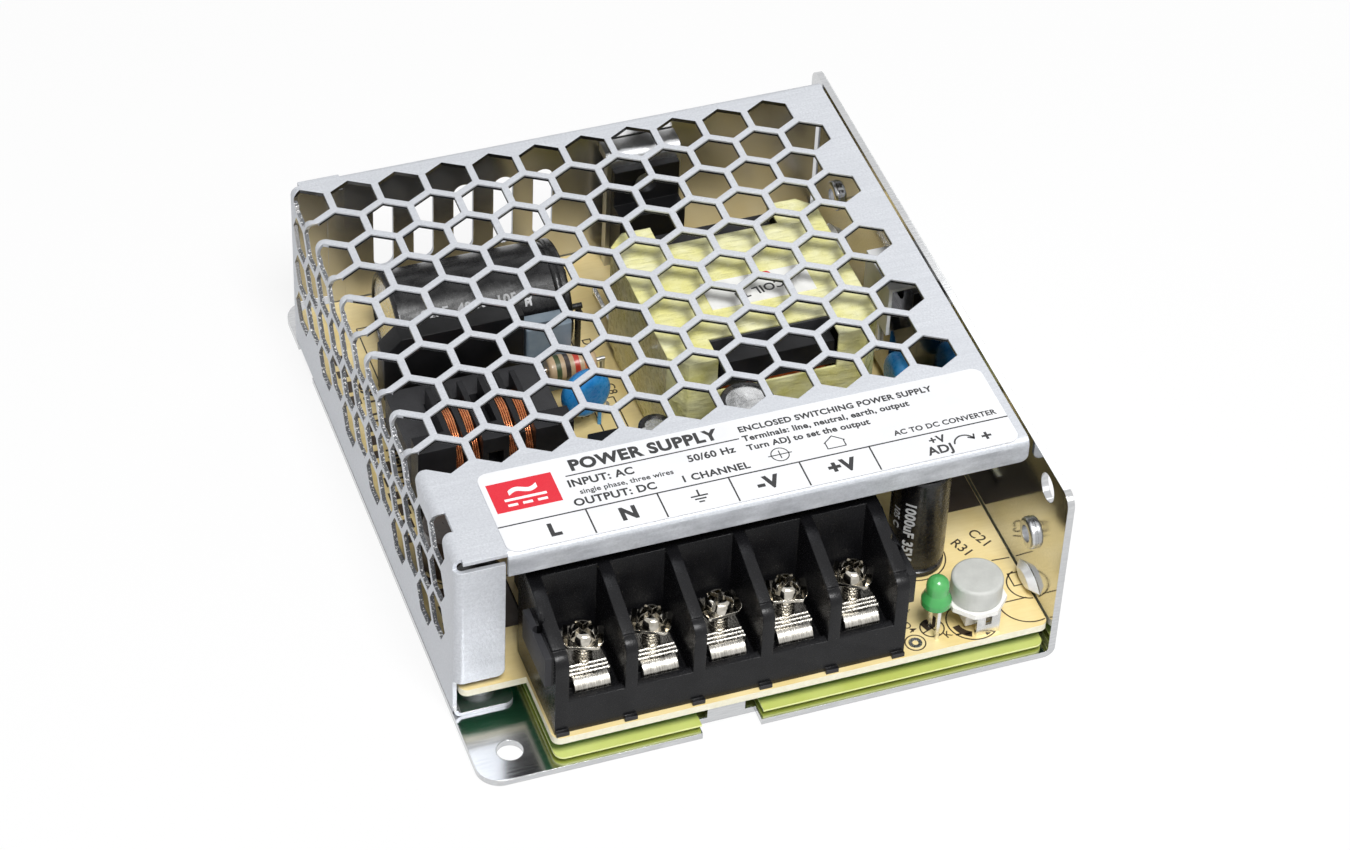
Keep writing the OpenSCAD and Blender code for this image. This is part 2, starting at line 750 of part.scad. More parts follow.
// Washer number n, a small plate with both ends turned up to wings
module clamp_washer(n) color("gainsboro") case_frame()
    translate([pole_x(n), block_y + screw_y, washer_z]) rotate(washer_turn[n - 1]) difference() {
        flat = screw_head_d / 2 + 0.05;
        half = washer_w / 2;
        intersection() {
            translate([0, -washer_l / 2, 0]) along_y(washer_l) polygon([
                [-flat, 0], [flat, 0], [half, wing_h], [half, wing_h + washer_t],
                [flat, washer_t], [-flat, washer_t], [-half, wing_h + washer_t], [-half, wing_h]
            ]);
            translate([-half, -washer_l / 2, -e])
                round_box([washer_w, washer_l, 2 * e + washer_t + wing_h], 0.8);
        }
        translate([0, 0, -e]) cylinder(d = washer_hole_d, h = washer_t + 2 * e);
    }

// Terminal screw number n, with a slotted cross in its head
module terminal_screw(n) color("gainsboro") case_frame()
    translate([pole_x(n), block_y + screw_y, washer_z + washer_t]) difference() {
        crown = 0.7;
        union() {
            translate([0, 0, -washer_t - screw_l]) cylinder(d = screw_d, h = washer_t + screw_l);
            rotate_extrude() difference() {
                square([screw_head_d / 2, screw_head_h]);
                corner_cut(screw_head_d / 2, screw_head_h, crown, 180);
            }
        }
        for (a = [0, 90])
            translate([0, 0, screw_head_h - 1.1]) rotate(a + 45 + washer_turn[n - 1])
                translate([-screw_head_d, -0.35, 0]) cube([2 * screw_head_d, 0.7, 1.2]);
    }

module led_lens() color("limegreen") case_frame() translate([led_x, led_y, board_top + led_lift])
    rotate_extrude() {
    straight = 3.2;
    rim = 0.9;
    cone = 2.2;
    square([led_skirt_d / 2, rim]);
    polygon([[0, 0], [led_skirt_d / 2, rim], [led_d / 2, cone], [0, cone]]);
    square([led_d / 2, straight]);
    translate([0, straight]) intersection() {
        circle(led_d / 2);
        square(led_d);
    }
}

module led_leads() color("silver") case_frame()
    for (s = [-1, 1])
        translate([led_x - 0.25, led_y + s * 1.27 - 0.25, board_top]) cube([0.5, 0.5, led_lift]);

module trimmer_base() color("white") case_frame() translate([trimmer_x, trimmer_y, 0]) difference() {
    core = 4;
    union() {
        translate([0, 0, knob_z - trimmer_flange]) rotate(22.5)
            cylinder(d = knob_d + trimmer_rim, h = trimmer_flange, $fn = 8);
        translate([-core / 2, -core / 2, board_top + 1])
            cube([core, core, trimmer_seat - trimmer_flange / 2 - 1]);
    }
    translate([0, 0, board_top + 1.2]) cylinder(d = spigot_d + 2 * spigot_clear, h = trimmer_seat);
}

module trimmer_knob() color("lightgrey") case_frame() translate([trimmer_x, trimmer_y, knob_z + knob_gap]) {
    edge = 0.5;
    rotate_extrude() difference() {
        square([knob_d / 2, knob_h]);
        corner_cut(knob_d / 2, knob_h, edge, 180);
    }
    translate([0, 0, -2]) cylinder(d = spigot_d, h = 2 + e);
}

// Metal legs under the trimmer: a strap with a window at the front and one leg behind
module trimmer_legs() color("silver") case_frame() translate([trimmer_x, trimmer_y, board_top]) {
    strap_h = trimmer_seat - trimmer_flange;
    strap_w = 3.4;
    strap_t = 0.5;
    window = [0.9, 2];
    translate([-0.9, -3.3, 0]) difference() {
        cube([strap_w, strap_t, strap_h]);
        translate([(strap_w - window[0]) / 2, -e, strap_h - window[1] - 0.3])
            cube([window[0], strap_t + 2 * e, window[1]]);
    }
    translate([-strap_t, 2.7, 0]) cube([2 * strap_t, strap_t, strap_h]);
}

// Section of a capacitor's can from the axis outwards: base, rolled neck and folded sleeve at the top
module can_section(d, h) {
    neck = h > 14 ? 1.6 : 1.2;
    difference() {
        square([d / 2, h]);
        corner_cut(d / 2, 0, 0.4, 90);
        corner_cut(d / 2, h, 0.6, 180);
        translate([d / 2 + 0.35, neck]) circle(0.7);
        translate([-e, h - 0.25]) square([d / 2 - 0.9 + e, 1]);
    }
}

module output_capacitor(at) color("#1c1c1e") case_frame()
    translate([at[0], at[1], board_top]) rotate_extrude() can_section(output_cap_d, output_cap_h);

module output_capacitor_front() output_capacitor(output_front);

module output_capacitor_rear() output_capacitor(output_rear);

module bulk_capacitor() color("#1c1c1e") case_frame() {
    axis_z = board_top + bulk_lift + bulk_d / 2;
    lead_x = bulk_at[0] + bulk_l;
    translate([lead_x, bulk_at[1], axis_z]) rotate([0, -90, 0]) rotate_extrude() can_section(bulk_d, bulk_l);
    for (s = [-1, 1])
        translate([lead_x - e, bulk_at[1] + s * 3.75, axis_z]) {
            rotate([0, 90, 0]) cylinder(d = 0.9, h = 2.5 + e);
            translate([2 + e, 0, board_top - axis_z]) cylinder(d = 0.9, h = axis_z - board_top);
        }
}

module x_capacitor() color("#202022") case_frame()
    translate([xcap_at[0], xcap_at[1], board_top]) round_box([xcap_w, xcap_l, xcap_h], 0.5);

module film_capacitor() color("lightslategrey") case_frame()
    translate([film_cap_at[0] - film_cap_size[0] / 2, film_cap_at[1] - film_cap_size[1] / 2, board_top])
        round_box(film_cap_size, 0.4);

// Choke: a closed core that lies flat, a bobbin with flanges on its front limb and four bundles of wire
choke_z = board_top + choke_d / 2 + 0.8;
choke_limb = 5.6;
choke_wall = 0.7;
choke_end = 4.6;
choke_mid = 2.2;
choke_fit = 0.1;
choke_bar = 3.8;
flange_t = 0.8;
bundle_l = (choke_l - 2 * choke_end - choke_mid - 6 * flange_t) / 4;
function bundle_x(i) = choke_end + flange_t + i * (bundle_l + flange_t) + (i > 1 ? choke_mid + flange_t : 0);

module choke_core() color("#29292b") case_frame()
    translate([choke_at[0], choke_at[1], choke_z - choke_limb / 2]) {
    window = choke_d / 2 + 0.4 - choke_limb / 2;
    linear_extrude(choke_limb) difference() {
        translate([0, -choke_limb / 2]) round_rect(choke_l, choke_limb + window + choke_bar, 0.8);
        translate([choke_end, choke_limb / 2]) square([choke_l - 2 * choke_end, window]);
    }
}

module choke_bobbin() color("#202022") case_frame() translate([choke_at[0], choke_at[1], choke_z]) {
    inner = choke_limb + 2 * choke_fit;
    outer = inner + 2 * choke_wall;
    run = choke_l - 2 * choke_end - 2 * choke_fit;
    foot = board_top - choke_z;
    height = choke_d / 2 - foot;
    block = choke_d / 2 - inner / 2;
    mid_x = bundle_x(1) + bundle_l + flange_t;
    difference() {
        union() {
            translate([choke_end + choke_fit, -outer / 2, -outer / 2]) cube([run, outer, outer]);
            for (x = [choke_end + choke_fit, bundle_x(0) + bundle_l, bundle_x(1) + bundle_l])
                for (flange_x = [x, choke_l - x - flange_t])
                    translate([flange_x, -choke_d / 2, foot]) cube([flange_t, choke_d, height]);
            for (x = [0, choke_l - choke_end - flange_t])
                translate([x, -choke_d / 2, foot]) cube([choke_end + flange_t, block, height]);
            translate([mid_x - e, -choke_d / 2, foot]) cube([choke_mid + 2 * e, block, height / 2]);
            translate([mid_x - e, -choke_d / 2, foot + height * 0.8])
                cube([choke_mid + 2 * e, block, height * 0.2]);
        }
        translate([-e, -inner / 2, -inner / 2]) cube([choke_l + 2 * e, inner, inner]);
        for (x = [choke_end / 2, choke_l - choke_end / 2])
            translate([x, -choke_d / 2 - e, 1]) rotate([-90, 0, 0]) cylinder(d = 1.8, h = 1.5 + e);
    }
}

module choke_windings() color("chocolate") case_frame() translate([choke_at[0], choke_at[1], choke_z])
    for (i = [0:3])
        translate([bundle_x(i) + choke_fit, 0, 0]) difference() {
            hole = choke_limb + 2 * choke_fit + 2 * choke_wall;
            rotate([0, 90, 0]) cylinder(d = choke_d - 0.4, h = bundle_l - 2 * choke_fit);
            translate([-e, -hole / 2, -hole / 2]) cube([bundle_l + 2 * e, hole, hole]);
        }

// Dipped disc that stands on two wires at a height of lift, its face towards angle a
module disc_capacitor(at, a, lift) case_frame() translate([at[0], at[1], board_top]) rotate(a) {
    translate([0, 0, lift + disc_d / 2]) rotate([90, 0, 0]) rotate_extrude() {
        difference() {
            translate([0, -disc_t / 2]) square([disc_d / 2, disc_t]);
            corner_cut(disc_d / 2, -disc_t / 2, disc_t * 0.45, 90);
            corner_cut(disc_d / 2, disc_t / 2, disc_t * 0.45, 180);
        }
    }
    for (s = [-1, 1])
        translate([s * 2.5, 0, 0]) cylinder(d = 0.6, h = lift + disc_d / 3);
}

module disc_capacitor_left() color("dodgerblue") disc_capacitor(disc_left_at, 15, disc_left_lift);

module disc_capacitor_right() color("dodgerblue") disc_capacitor(disc_right_at, 90, disc_lift);

// Axial resistor with end caps, lifted off the board on its wires
module banded_resistor() color("tan") case_frame() {
    translate([resistor_at[0], resistor_at[1], board_top + resistor_lift]) {
        rotate([0, 90, 0]) rotate_extrude() difference() {
            square([resistor_size[1] / 2, resistor_size[0]]);
            corner_cut(resistor_size[1] / 2, 0, 0.6, 90);
            corner_cut(resistor_size[1] / 2, resistor_size[0], 0.6, 180);
            translate([resistor_size[1] / 2 + 4.85, resistor_size[0] / 2]) circle(5);
        }
        translate([-1.5, 0, 0]) rotate([0, 90, 0]) cylinder(d = 0.7, h = resistor_size[0] + 3);
        for (x = [-1.15, resistor_size[0] + 1.15])
            translate([x, 0, -resistor_lift]) cylinder(d = 0.7, h = resistor_lift);
    }
}

// Transformer, with its own middle on the board as origin
leg_w = 9;
side_leg = 5;
yoke = 4.4;
core_lift = 0.5;
window_w = (core_w - leg_w) / 2 - side_leg;
window_h = core_h - 2 * yoke;
coil_z = core_lift + yoke;
tube_t = 0.9;
flange = 1;
coil_fit = 0.1;
rail_l = 3;
rail_h = 4.4;
rail_gap = 0.6;
reach = core_d / 2 + rail_gap + rail_l;
tape_t = 0.3;
wide = leg_w + 2 * window_w - 2 * coil_fit;
// Width of the black rails at the top of the bobbin
rail_w = wide - 2.8;
tag_size = [15.6, 5.6, 0.12];

module transformer_core() color("#303033") case_frame()
    translate([transformer_at[0], transformer_at[1] - core_d / 2, board_top + core_lift]) along_y(core_d)
        difference() {
        translate([-core_w / 2, 0]) square([core_w, core_h]);
        for (s = [-1, 1])
            translate([s * (leg_w + window_w) / 2 - window_w / 2, yoke]) square([window_w, window_h]);
    }

module transformer_bobbin() color("#202022") case_frame()
    translate([transformer_at[0], transformer_at[1], board_top]) {
    inner = [leg_w + 2 * coil_fit, core_d + 2 * coil_fit];
    outer = [inner[0] + 2 * tube_t, inner[1] + 2 * tube_t];
    upper_z = coil_z + window_h - coil_fit - flange;
    difference() {
        union() {
            translate([-outer[0] / 2, -outer[1] / 2, coil_z + coil_fit])
                cube([outer[0], outer[1], window_h - 2 * coil_fit]);
            for (z = [coil_z + coil_fit, upper_z])
                translate([-wide / 2, -reach, z]) cube([wide, 2 * reach, flange]);
            for (s = [-1, 1])
                translate([0, s * (reach - rail_l / 2) - rail_l / 2, 0]) {
                    translate([-wide / 2, 0, 0]) cube([wide, rail_l, coil_z + coil_fit + flange]);
                    translate([-rail_w / 2, 0, upper_z]) cube([rail_w, rail_l, rail_h]);
                }
        }
        translate([-inner[0] / 2, -inner[1] / 2, 0]) cube([inner[0], inner[1], core_h * 2]);
    }
}

module transformer_winding() color("peru") case_frame()
    translate([transformer_at[0], transformer_at[1], board_top]) {
    hole = [leg_w + 2 * tube_t + 0.4, core_d + 2 * tube_t + 0.4];
    size = [leg_w + 2 * window_w - 0.8, 2 * reach - 0.4];
    translate([0, 0, coil_z + flange + 0.2]) linear_extrude(window_h - 2 * flange - 0.4) difference() {
        translate([-size[0] / 2, -size[1] / 2]) round_rect(size[0], size[1], 3);
        translate([-hole[0] / 2, -hole[1] / 2]) square(hole);
    }
}

// Wrap round the core and the winding, seen from above, m outside its inner face
module wrap_outline(m) {
    side = core_w / 2 + tape_t + m;
    end = reach + 0.1 + m;
    corner = 2.4;
    polygon([
        [side, corner - end], [side, end - corner], [side - corner, end], [corner - side, end],
        [-side, end - corner], [-side, corner - end], [corner - side, -end], [side - corner, -end]
    ]);
}

// Openings of the wrap over the two rails, from height z up
module rail_ways(z) {
    way = rail_w + 0.8;
    for (s = [-1, 1])
        translate([-way / 2, s * (reach + core_d / 2) / 2 - rail_l, z]) cube([way, 2 * rail_l, core_h]);
}

module transformer_tape() color("khaki") case_frame()
    translate([transformer_at[0], transformer_at[1], board_top]) {
    band = core_d - 0.6;
    top_z = core_lift + core_h;
    low_z = 2;
    translate([0, -band / 2, core_lift]) along_y(band) difference() {
        translate([-core_w / 2 - tape_t, -tape_t]) square([core_w + 2 * tape_t, core_h + 2 * tape_t]);
        translate([-core_w / 2, 0]) square([core_w, core_h]);
    }
    difference() {
        union() {
            translate([0, 0, low_z]) linear_extrude(top_z + tape_t - low_z) difference() {
                wrap_outline(tape_t);
                wrap_outline(0);
            }
            translate([0, 0, top_z]) linear_extrude(tape_t) wrap_outline(tape_t);
        }
        rail_ways(coil_z + window_h - flange - 0.4);
    }
}

module transformer_tag() color("white") case_frame()
    translate([transformer_at[0] - 6.3, transformer_at[1] - 4.8, board_top + core_lift + core_h + tape_t])
        cube(tag_size);

// Three-legged power device, its back towards +Y and its leads down to the board
module power_device(lift) {
    tab_t = device_t * 0.3;
    hole_z = (device_h + device_tab_h) / 2 + 0.3;
    lead_w = 0.8;
    lead_pitch = device_w / 4;
    translate([-device_w / 2, -device_t, lift]) cube([device_w, device_t - tab_t, device_h]);
    translate([-device_w / 2, -tab_t, lift]) difference() {
        cube([device_w, tab_t, device_tab_h]);
        translate([device_w / 2, -e, hole_z]) rotate([-90, 0, 0])
            cylinder(d = device_w * 0.36, h = tab_t + 2 * e);
    }
    for (i = [-1:1])
        translate([i * lead_pitch - lead_w / 2, -device_t * 0.7, 0]) cube([lead_w, 0.5, lift]);
}

module primary_heatsink() color("silver") case_frame()
    translate([heatsink_at[0], heatsink_at[1], board_top]) {
    plate = 1.5;
    height = case_h - board_top - cover_t - 2.4;
    back = board_rear - heatsink_at[1];
    along_x(heatsink_w) difference() {
        square([back, height]);
        corner_cut(0, height, 1.6, 270);
        translate([plate, -e]) square([back, height - plate + e]);
    }
}

module primary_switch() color("#202022") case_frame()
    translate([heatsink_at[0] + heatsink_w / 2, heatsink_at[1], board_top]) power_device(3.5);

module output_rectifier() color("#202022") case_frame()
    translate([wall_in, rectifier_y, board_top]) rotate(-90) power_device(2.2);

// Spring strip that presses the rectifier to the right wall: broad above, a round-ended tongue below
module rectifier_clip() color("silver") case_frame() translate([wall_in, rectifier_y, board_top]) {
    out = device_t + clip_t;
    height = device_tab_h + 3.4;
    broad = device_w - 1;
    tongue = broad * 0.4;
    shoulder_z = device_h + 1;
    tip_z = device_h * 0.6;
    translate([-out, 0, 0]) along_x(clip_t) union() {
        translate([-broad / 2, shoulder_z]) square([broad, height - shoulder_z]);
        translate([-tongue / 2, tip_z]) square([tongue, shoulder_z - tip_z + e]);
        translate([0, tip_z]) circle(d = tongue);
    }
    translate([-out, -broad / 2, height - clip_t]) cube([out, broad, clip_t]);
    translate([-clip_t, -broad / 2, height - clip_t]) cube([clip_t, broad, 2.6]);
}

module inrush_limiter() color("#1b1b1b") disc_capacitor(limiter_at, 0, disc_lift);

module fuse() color("saddlebrown") case_frame() translate([fuse_at[0], fuse_at[1], board_top])
    rotate_extrude() difference() {
    square([fuse_d / 2, fuse_h]);
    corner_cut(fuse_d / 2, fuse_h, 0.5, 180);
}

// Flat upright bridge rectifier with one corner cut off, on four leads
module bridge_rectifier() color("#202022") case_frame() translate([bridge_at[0], bridge_at[1], board_top]) {
    lead = 0.8;
    inset = 2.2;
    translate([0, 0, bridge_lift]) along_y(bridge_size[1]) polygon([
        [0, 0], [bridge_size[0], 0], [bridge_size[0], bridge_size[2]],
        [bridge_chamfer, bridge_size[2]], [0, bridge_size[2] - bridge_chamfer]
    ]);
    for (i = [0:3])
        translate([inset + i * (bridge_size[0] - 2 * inset - lead) / 3, bridge_size[1] / 2 - lead / 2, 0])
            cube([lead, lead, bridge_lift]);
}

module optocoupler() color("#202022") case_frame() translate([opto_at[0], opto_at[1], board_top]) {
    translate([0, 0, 0.8]) round_box([4.6, 6.6, 3.4], 0.3);
    for (x = [0.8, 3.3])
        for (y = [-0.5, 6.6])
            translate([x, y, 0]) cube([0.6, 0.5, 2.2]);
}

module output_choke() color("#1c1c1e") case_frame()
    translate([output_choke_at[0], output_choke_at[1], board_top]) rotate_extrude() difference() {
        square([coil_d / 2, coil_h]);
        corner_cut(coil_d / 2, 0, 0.5, 90);
        corner_cut(coil_d / 2, coil_h, 0.8, 180);
    }

module auxiliary_capacitor() color("#1c1c1e") case_frame()
    translate([aux_at[0], aux_at[1], board_top]) rotate_extrude() can_section(aux_d, aux_h);

// Bare wire bridges that lie along Y, a little above the board
module jumper_wires() color("silver") case_frame()
    for (at = bridge_wires)
        translate([at[0] - wire_d / 2, at[1], board_top]) {
            translate([0, 0, wire_lift]) cube([wire_d, bridge_wire_l, wire_d]);
            for (y = [0, bridge_wire_l - wire_d])
                translate([0, y, 0]) cube([wire_d, wire_d, wire_lift]);
        }

chassis();
cover();
label();
cover_screws();
insulation_film();
circuit_board();
terminal_block();
for (n = [1:poles]) {
    terminal_plate(n);
    clamp_washer(n);
    terminal_screw(n);
}
led_lens();
led_leads();
trimmer_base();
trimmer_knob();
trimmer_legs();
output_capacitor_front();
output_capacitor_rear();
bulk_capacitor();
x_capacitor();
film_capacitor();
choke_core();
choke_bobbin();
choke_windings();
disc_capacitor_left();
disc_capacitor_right();
banded_resistor();
transformer_core();
transformer_bobbin();
transformer_winding();
transformer_tape();
transformer_tag();
primary_heatsink();
primary_switch();
output_rectifier();
rectifier_clip();
inrush_limiter();
fuse();
bridge_rectifier();
optocoupler();
output_choke();
auxiliary_capacitor();
jumper_wires();
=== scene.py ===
# Looks of the enclosed switching power supply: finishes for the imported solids, printed label and board,
# softened mouldings, wire turns and the studio. Places are given in millimetres from the front left
# bottom corner of the case, X to the right, Y to the rear and Z up, as in the part's source.
import json
import math

import bpy
from mathutils import Matrix, Vector


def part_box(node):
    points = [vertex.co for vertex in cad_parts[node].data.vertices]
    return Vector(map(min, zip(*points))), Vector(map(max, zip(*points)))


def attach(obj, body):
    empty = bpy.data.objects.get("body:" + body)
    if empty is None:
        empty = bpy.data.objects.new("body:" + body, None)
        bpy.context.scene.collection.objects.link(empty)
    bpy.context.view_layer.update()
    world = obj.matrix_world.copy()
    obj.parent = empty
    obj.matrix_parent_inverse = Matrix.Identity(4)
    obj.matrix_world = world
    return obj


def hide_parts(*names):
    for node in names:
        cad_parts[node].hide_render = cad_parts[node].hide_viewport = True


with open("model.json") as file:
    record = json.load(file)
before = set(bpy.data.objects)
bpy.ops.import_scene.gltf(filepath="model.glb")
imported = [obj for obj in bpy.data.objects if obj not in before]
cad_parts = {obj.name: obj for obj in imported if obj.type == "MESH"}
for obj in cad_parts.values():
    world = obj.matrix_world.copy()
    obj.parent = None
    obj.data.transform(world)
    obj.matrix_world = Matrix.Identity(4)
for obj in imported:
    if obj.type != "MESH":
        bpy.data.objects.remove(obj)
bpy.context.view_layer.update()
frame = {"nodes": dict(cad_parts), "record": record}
nodes = frame["nodes"]
poles = range(1, 6)
BODY = "supply"
MM = 0.001
CASE_W = 82.0
CASE_L = 99.0
CASE_H = 30.0
BOARD_LOW = 5.0
BOARD_TOP = 6.2
LABEL_TOP = 30.1

# Thickness of print, width of a line printed on the board, and the distance in metres at which points merge
PRINT = 0.015
LINE = 0.2
MERGE = 0.000001


# Places and colours

def spot(x, y, z):
    """A place given from the corner of the case, in the part's frame in metres."""
    return Vector(((x - CASE_W / 2) * MM, (y - CASE_L / 2) * MM, z * MM))


def tone(red, green, blue):
    """A colour read off a screen, 0 to 255, as the shader's linear colour."""
    def linear(value):
        value = value / 255
        return value / 12.92 if value < 0.04045 else ((value + 0.055) / 1.055) ** 2.4
    return (linear(red), linear(green), linear(blue), 1.0)


# Camera at the photograph's place

CAMERA_PLACE = (-0.149554, -0.390448, 0.406116)
CAMERA_RIGHT = Vector((0.9405378, -0.33708159, 0.04200773))
CAMERA_AHEAD = Vector((0.27290842, 0.67619991, -0.68430599))
CAMERA_SENSOR = 36.0
CAMERA_LENS = 108.91
CAMERA_SHIFT = (-0.0256, -0.0120)
CAMERA_NEAR = 0.01


def set_camera():
    bpy.ops.object.camera_add()
    camera = bpy.context.object
    camera.name = "camera"
    up = CAMERA_RIGHT.cross(CAMERA_AHEAD)
    turn = Matrix((CAMERA_RIGHT, up, -CAMERA_AHEAD)).transposed()
    camera.matrix_world = Matrix.Translation(CAMERA_PLACE) @ turn.to_4x4()
    camera.data.sensor_fit = "HORIZONTAL"
    camera.data.sensor_width = CAMERA_SENSOR
    camera.data.lens = CAMERA_LENS
    camera.data.shift_x, camera.data.shift_y = CAMERA_SHIFT
    camera.data.clip_start = CAMERA_NEAR
    bpy.context.scene.camera = camera


# Shader building

FLOAT = "NodeSocketFloat"
VECTOR = "NodeSocketVector"

# Part of a face's direction below which it counts as upright, and above which it faces a way
UPRIGHT = 0.6
FACING = 0.7


def put(tree, kind, inputs=None, **settings):
    """Add a node, apply its settings, then set or link its inputs by name or number."""
    node = tree.nodes.new(kind)
    for name, value in settings.items():
        setattr(node, name, value)
    for key, value in (inputs or {}).items():
        if isinstance(value, bpy.types.NodeSocket):
            tree.links.new(value, node.inputs[key])
        else:
            node.inputs[key].default_value = value
    return node


def calc(tree, operation, first, second=0.0, third=0.0):
    node = put(tree, "ShaderNodeMath", {0: first, 1: second, 2: third}, operation=operation)
    return node.outputs[0]


def vector_calc(tree, operation, *inputs):
    return put(tree, "ShaderNodeVectorMath", dict(enumerate(inputs)), operation=operation).outputs


def rise(tree, value, low, high, start=0.0, end=1.0):
    """Map value from low to high onto start to end, held at both ends."""
    node = put(tree, "ShaderNodeMapRange", {0: value, 1: low, 2: high, 3: start, 4: end}, clamp=True)
    return node.outputs[0]


def mix(tree, factor, first, second):
    node = put(tree, "ShaderNodeMix", {0: factor, 6: first, 7: second}, data_type="RGBA")
    return node.outputs[2]


def noise(tree, vector, scale, detail, roughness):
    inputs = {"Vector": vector, "Scale": scale, "Detail": detail, "Roughness": roughness}
    return put(tree, "ShaderNodeTexNoise", inputs).outputs[0]


def split(tree, vector):
    return put(tree, "ShaderNodeSeparateXYZ", {0: vector}).outputs


# Shared effects

def new_group(name, inputs, outputs):
    """An empty shader group with named sockets, and its input and output nodes."""
    tree = bpy.data.node_groups.new(name, "ShaderNodeTree")
    for label, kind, value in inputs:
        socket = tree.interface.new_socket(name=label, in_out="INPUT", socket_type=kind)
        socket.default_value = value
    for label, kind in outputs:
        tree.interface.new_socket(name=label, in_out="OUTPUT", socket_type=kind)
    return tree, put(tree, "NodeGroupInput").outputs, put(tree, "NodeGroupOutput").inputs


def case_place_group():
    """Place on the part in millimetres from the corner of the case."""
    tree, _, out = new_group("case_place", [], [("Place", VECTOR)])
    here = put(tree, "ShaderNodeTexCoord").outputs["Object"]
    per_metre = 1 / MM
    offset = (CASE_W / 2, CASE_L / 2, 0.0)
    scaled = vector_calc(tree, "MULTIPLY_ADD", here, (per_metre, per_metre, per_metre), offset)
    tree.links.new(scaled[0], out["Place"])
    return tree


def grain_group():
    """Fine grain and slow mottle of a surface."""
    tree, given, out = new_group(
        "surface_grain",
        [("Place", VECTOR, (0, 0, 0)), ("Grain Scale", FLOAT, 3.0), ("Mottle Scale", FLOAT, 0.3)],
        [("Grain", FLOAT), ("Mottle", FLOAT)])
    grain = noise(tree, given["Place"], given["Grain Scale"], 4.0, 0.65)
    mottle = noise(tree, given["Place"], given["Mottle Scale"], 2.0, 0.5)
    tree.links.new(rise(tree, grain, 0.3, 0.7), out["Grain"])
    tree.links.new(rise(tree, mottle, 0.35, 0.65), out["Mottle"])
    return tree


def streak_group():
    """Streaks left by rolling or drawing, long along one direction."""
    tree, given, out = new_group(
        "drawn_streaks",
        [("Place", VECTOR, (0, 0, 0)), ("Stretch", VECTOR, (1, 1, 1)), ("Scale", FLOAT, 1.0)],
        [("Streak", FLOAT)])
    drawn = vector_calc(tree, "MULTIPLY", given["Place"], given["Stretch"])
    streak = noise(tree, drawn[0], given["Scale"], 4.0, 0.6)
    tree.links.new(rise(tree, streak, 0.3, 0.7), out["Streak"])
    return tree


def rub_group():
    """Sparse rubbed or dusty patches, most of the surface left clean."""
    tree, given, out = new_group(
        "rubbed_patches",
        [("Place", VECTOR, (0, 0, 0)), ("Scale", FLOAT, 0.6), ("Cover", FLOAT, 0.4)],
        [("Mask", FLOAT)])
    broad = noise(tree, given["Place"], given["Scale"], 5.0, 0.7)
    edge = calc(tree, "SUBTRACT", 0.75, calc(tree, "MULTIPLY", given["Cover"], 0.4))
    above = calc(tree, "SUBTRACT", broad, edge)
    tree.links.new(rise(tree, above, 0.0, 0.12), out["Mask"])
    return tree


def box_field_group():
    """One inside an upright box, nothing outside."""
    tree, given, out = new_group(
        "box_field",
        [("Place", VECTOR, (0, 0, 0)), ("Low", VECTOR, (0, 0, 0)), ("High", VECTOR, (1, 1, 1))],
        [("Mask", FLOAT)])
    place = split(tree, given["Place"])
    low = split(tree, given["Low"])
    high = split(tree, given["High"])
    inside = None
    for axis in range(3):
        above = calc(tree, "GREATER_THAN", place[axis], low[axis])
        below = calc(tree, "LESS_THAN", place[axis], high[axis])
        both = calc(tree, "MULTIPLY", above, below)
        inside = both if inside is None else calc(tree, "MULTIPLY", inside, both)
    tree.links.new(inside, out["Mask"])
    return tree


def round_field_group():
    """Distance from an upright axis and the angle round it, for round marks and stripes."""
    tree, given, out = new_group(
        "round_field",
        [("Place", VECTOR, (0, 0, 0)), ("Centre", VECTOR, (0, 0, 0))],
        [("Radius", FLOAT), ("Angle", FLOAT)])
    away = vector_calc(tree, "SUBTRACT", given["Place"], given["Centre"])[0]
    part = split(tree, away)
    flat = put(tree, "ShaderNodeCombineXYZ", {0: part[0], 1: part[1]}).outputs[0]
    tree.links.new(vector_calc(tree, "LENGTH", flat)["Value"], out["Radius"])
    tree.links.new(calc(tree, "ARCTAN2", part[1], part[0]), out["Angle"])
    return tree


GROUPS = {
    "place": case_place_group(),
    "grain": grain_group(),
    "streak": streak_group(),
    "rub": rub_group(),
    "box": box_field_group(),
    "round": round_field_group(),
}


def effect(tree, name, **inputs):
    """Put one of the shared groups into a material. Underscores in input names stand for spaces."""
    named = {key.replace("_", " "): value for key, value in inputs.items()}
    return put(tree, "ShaderNodeGroup", named, node_tree=GROUPS[name]).outputs


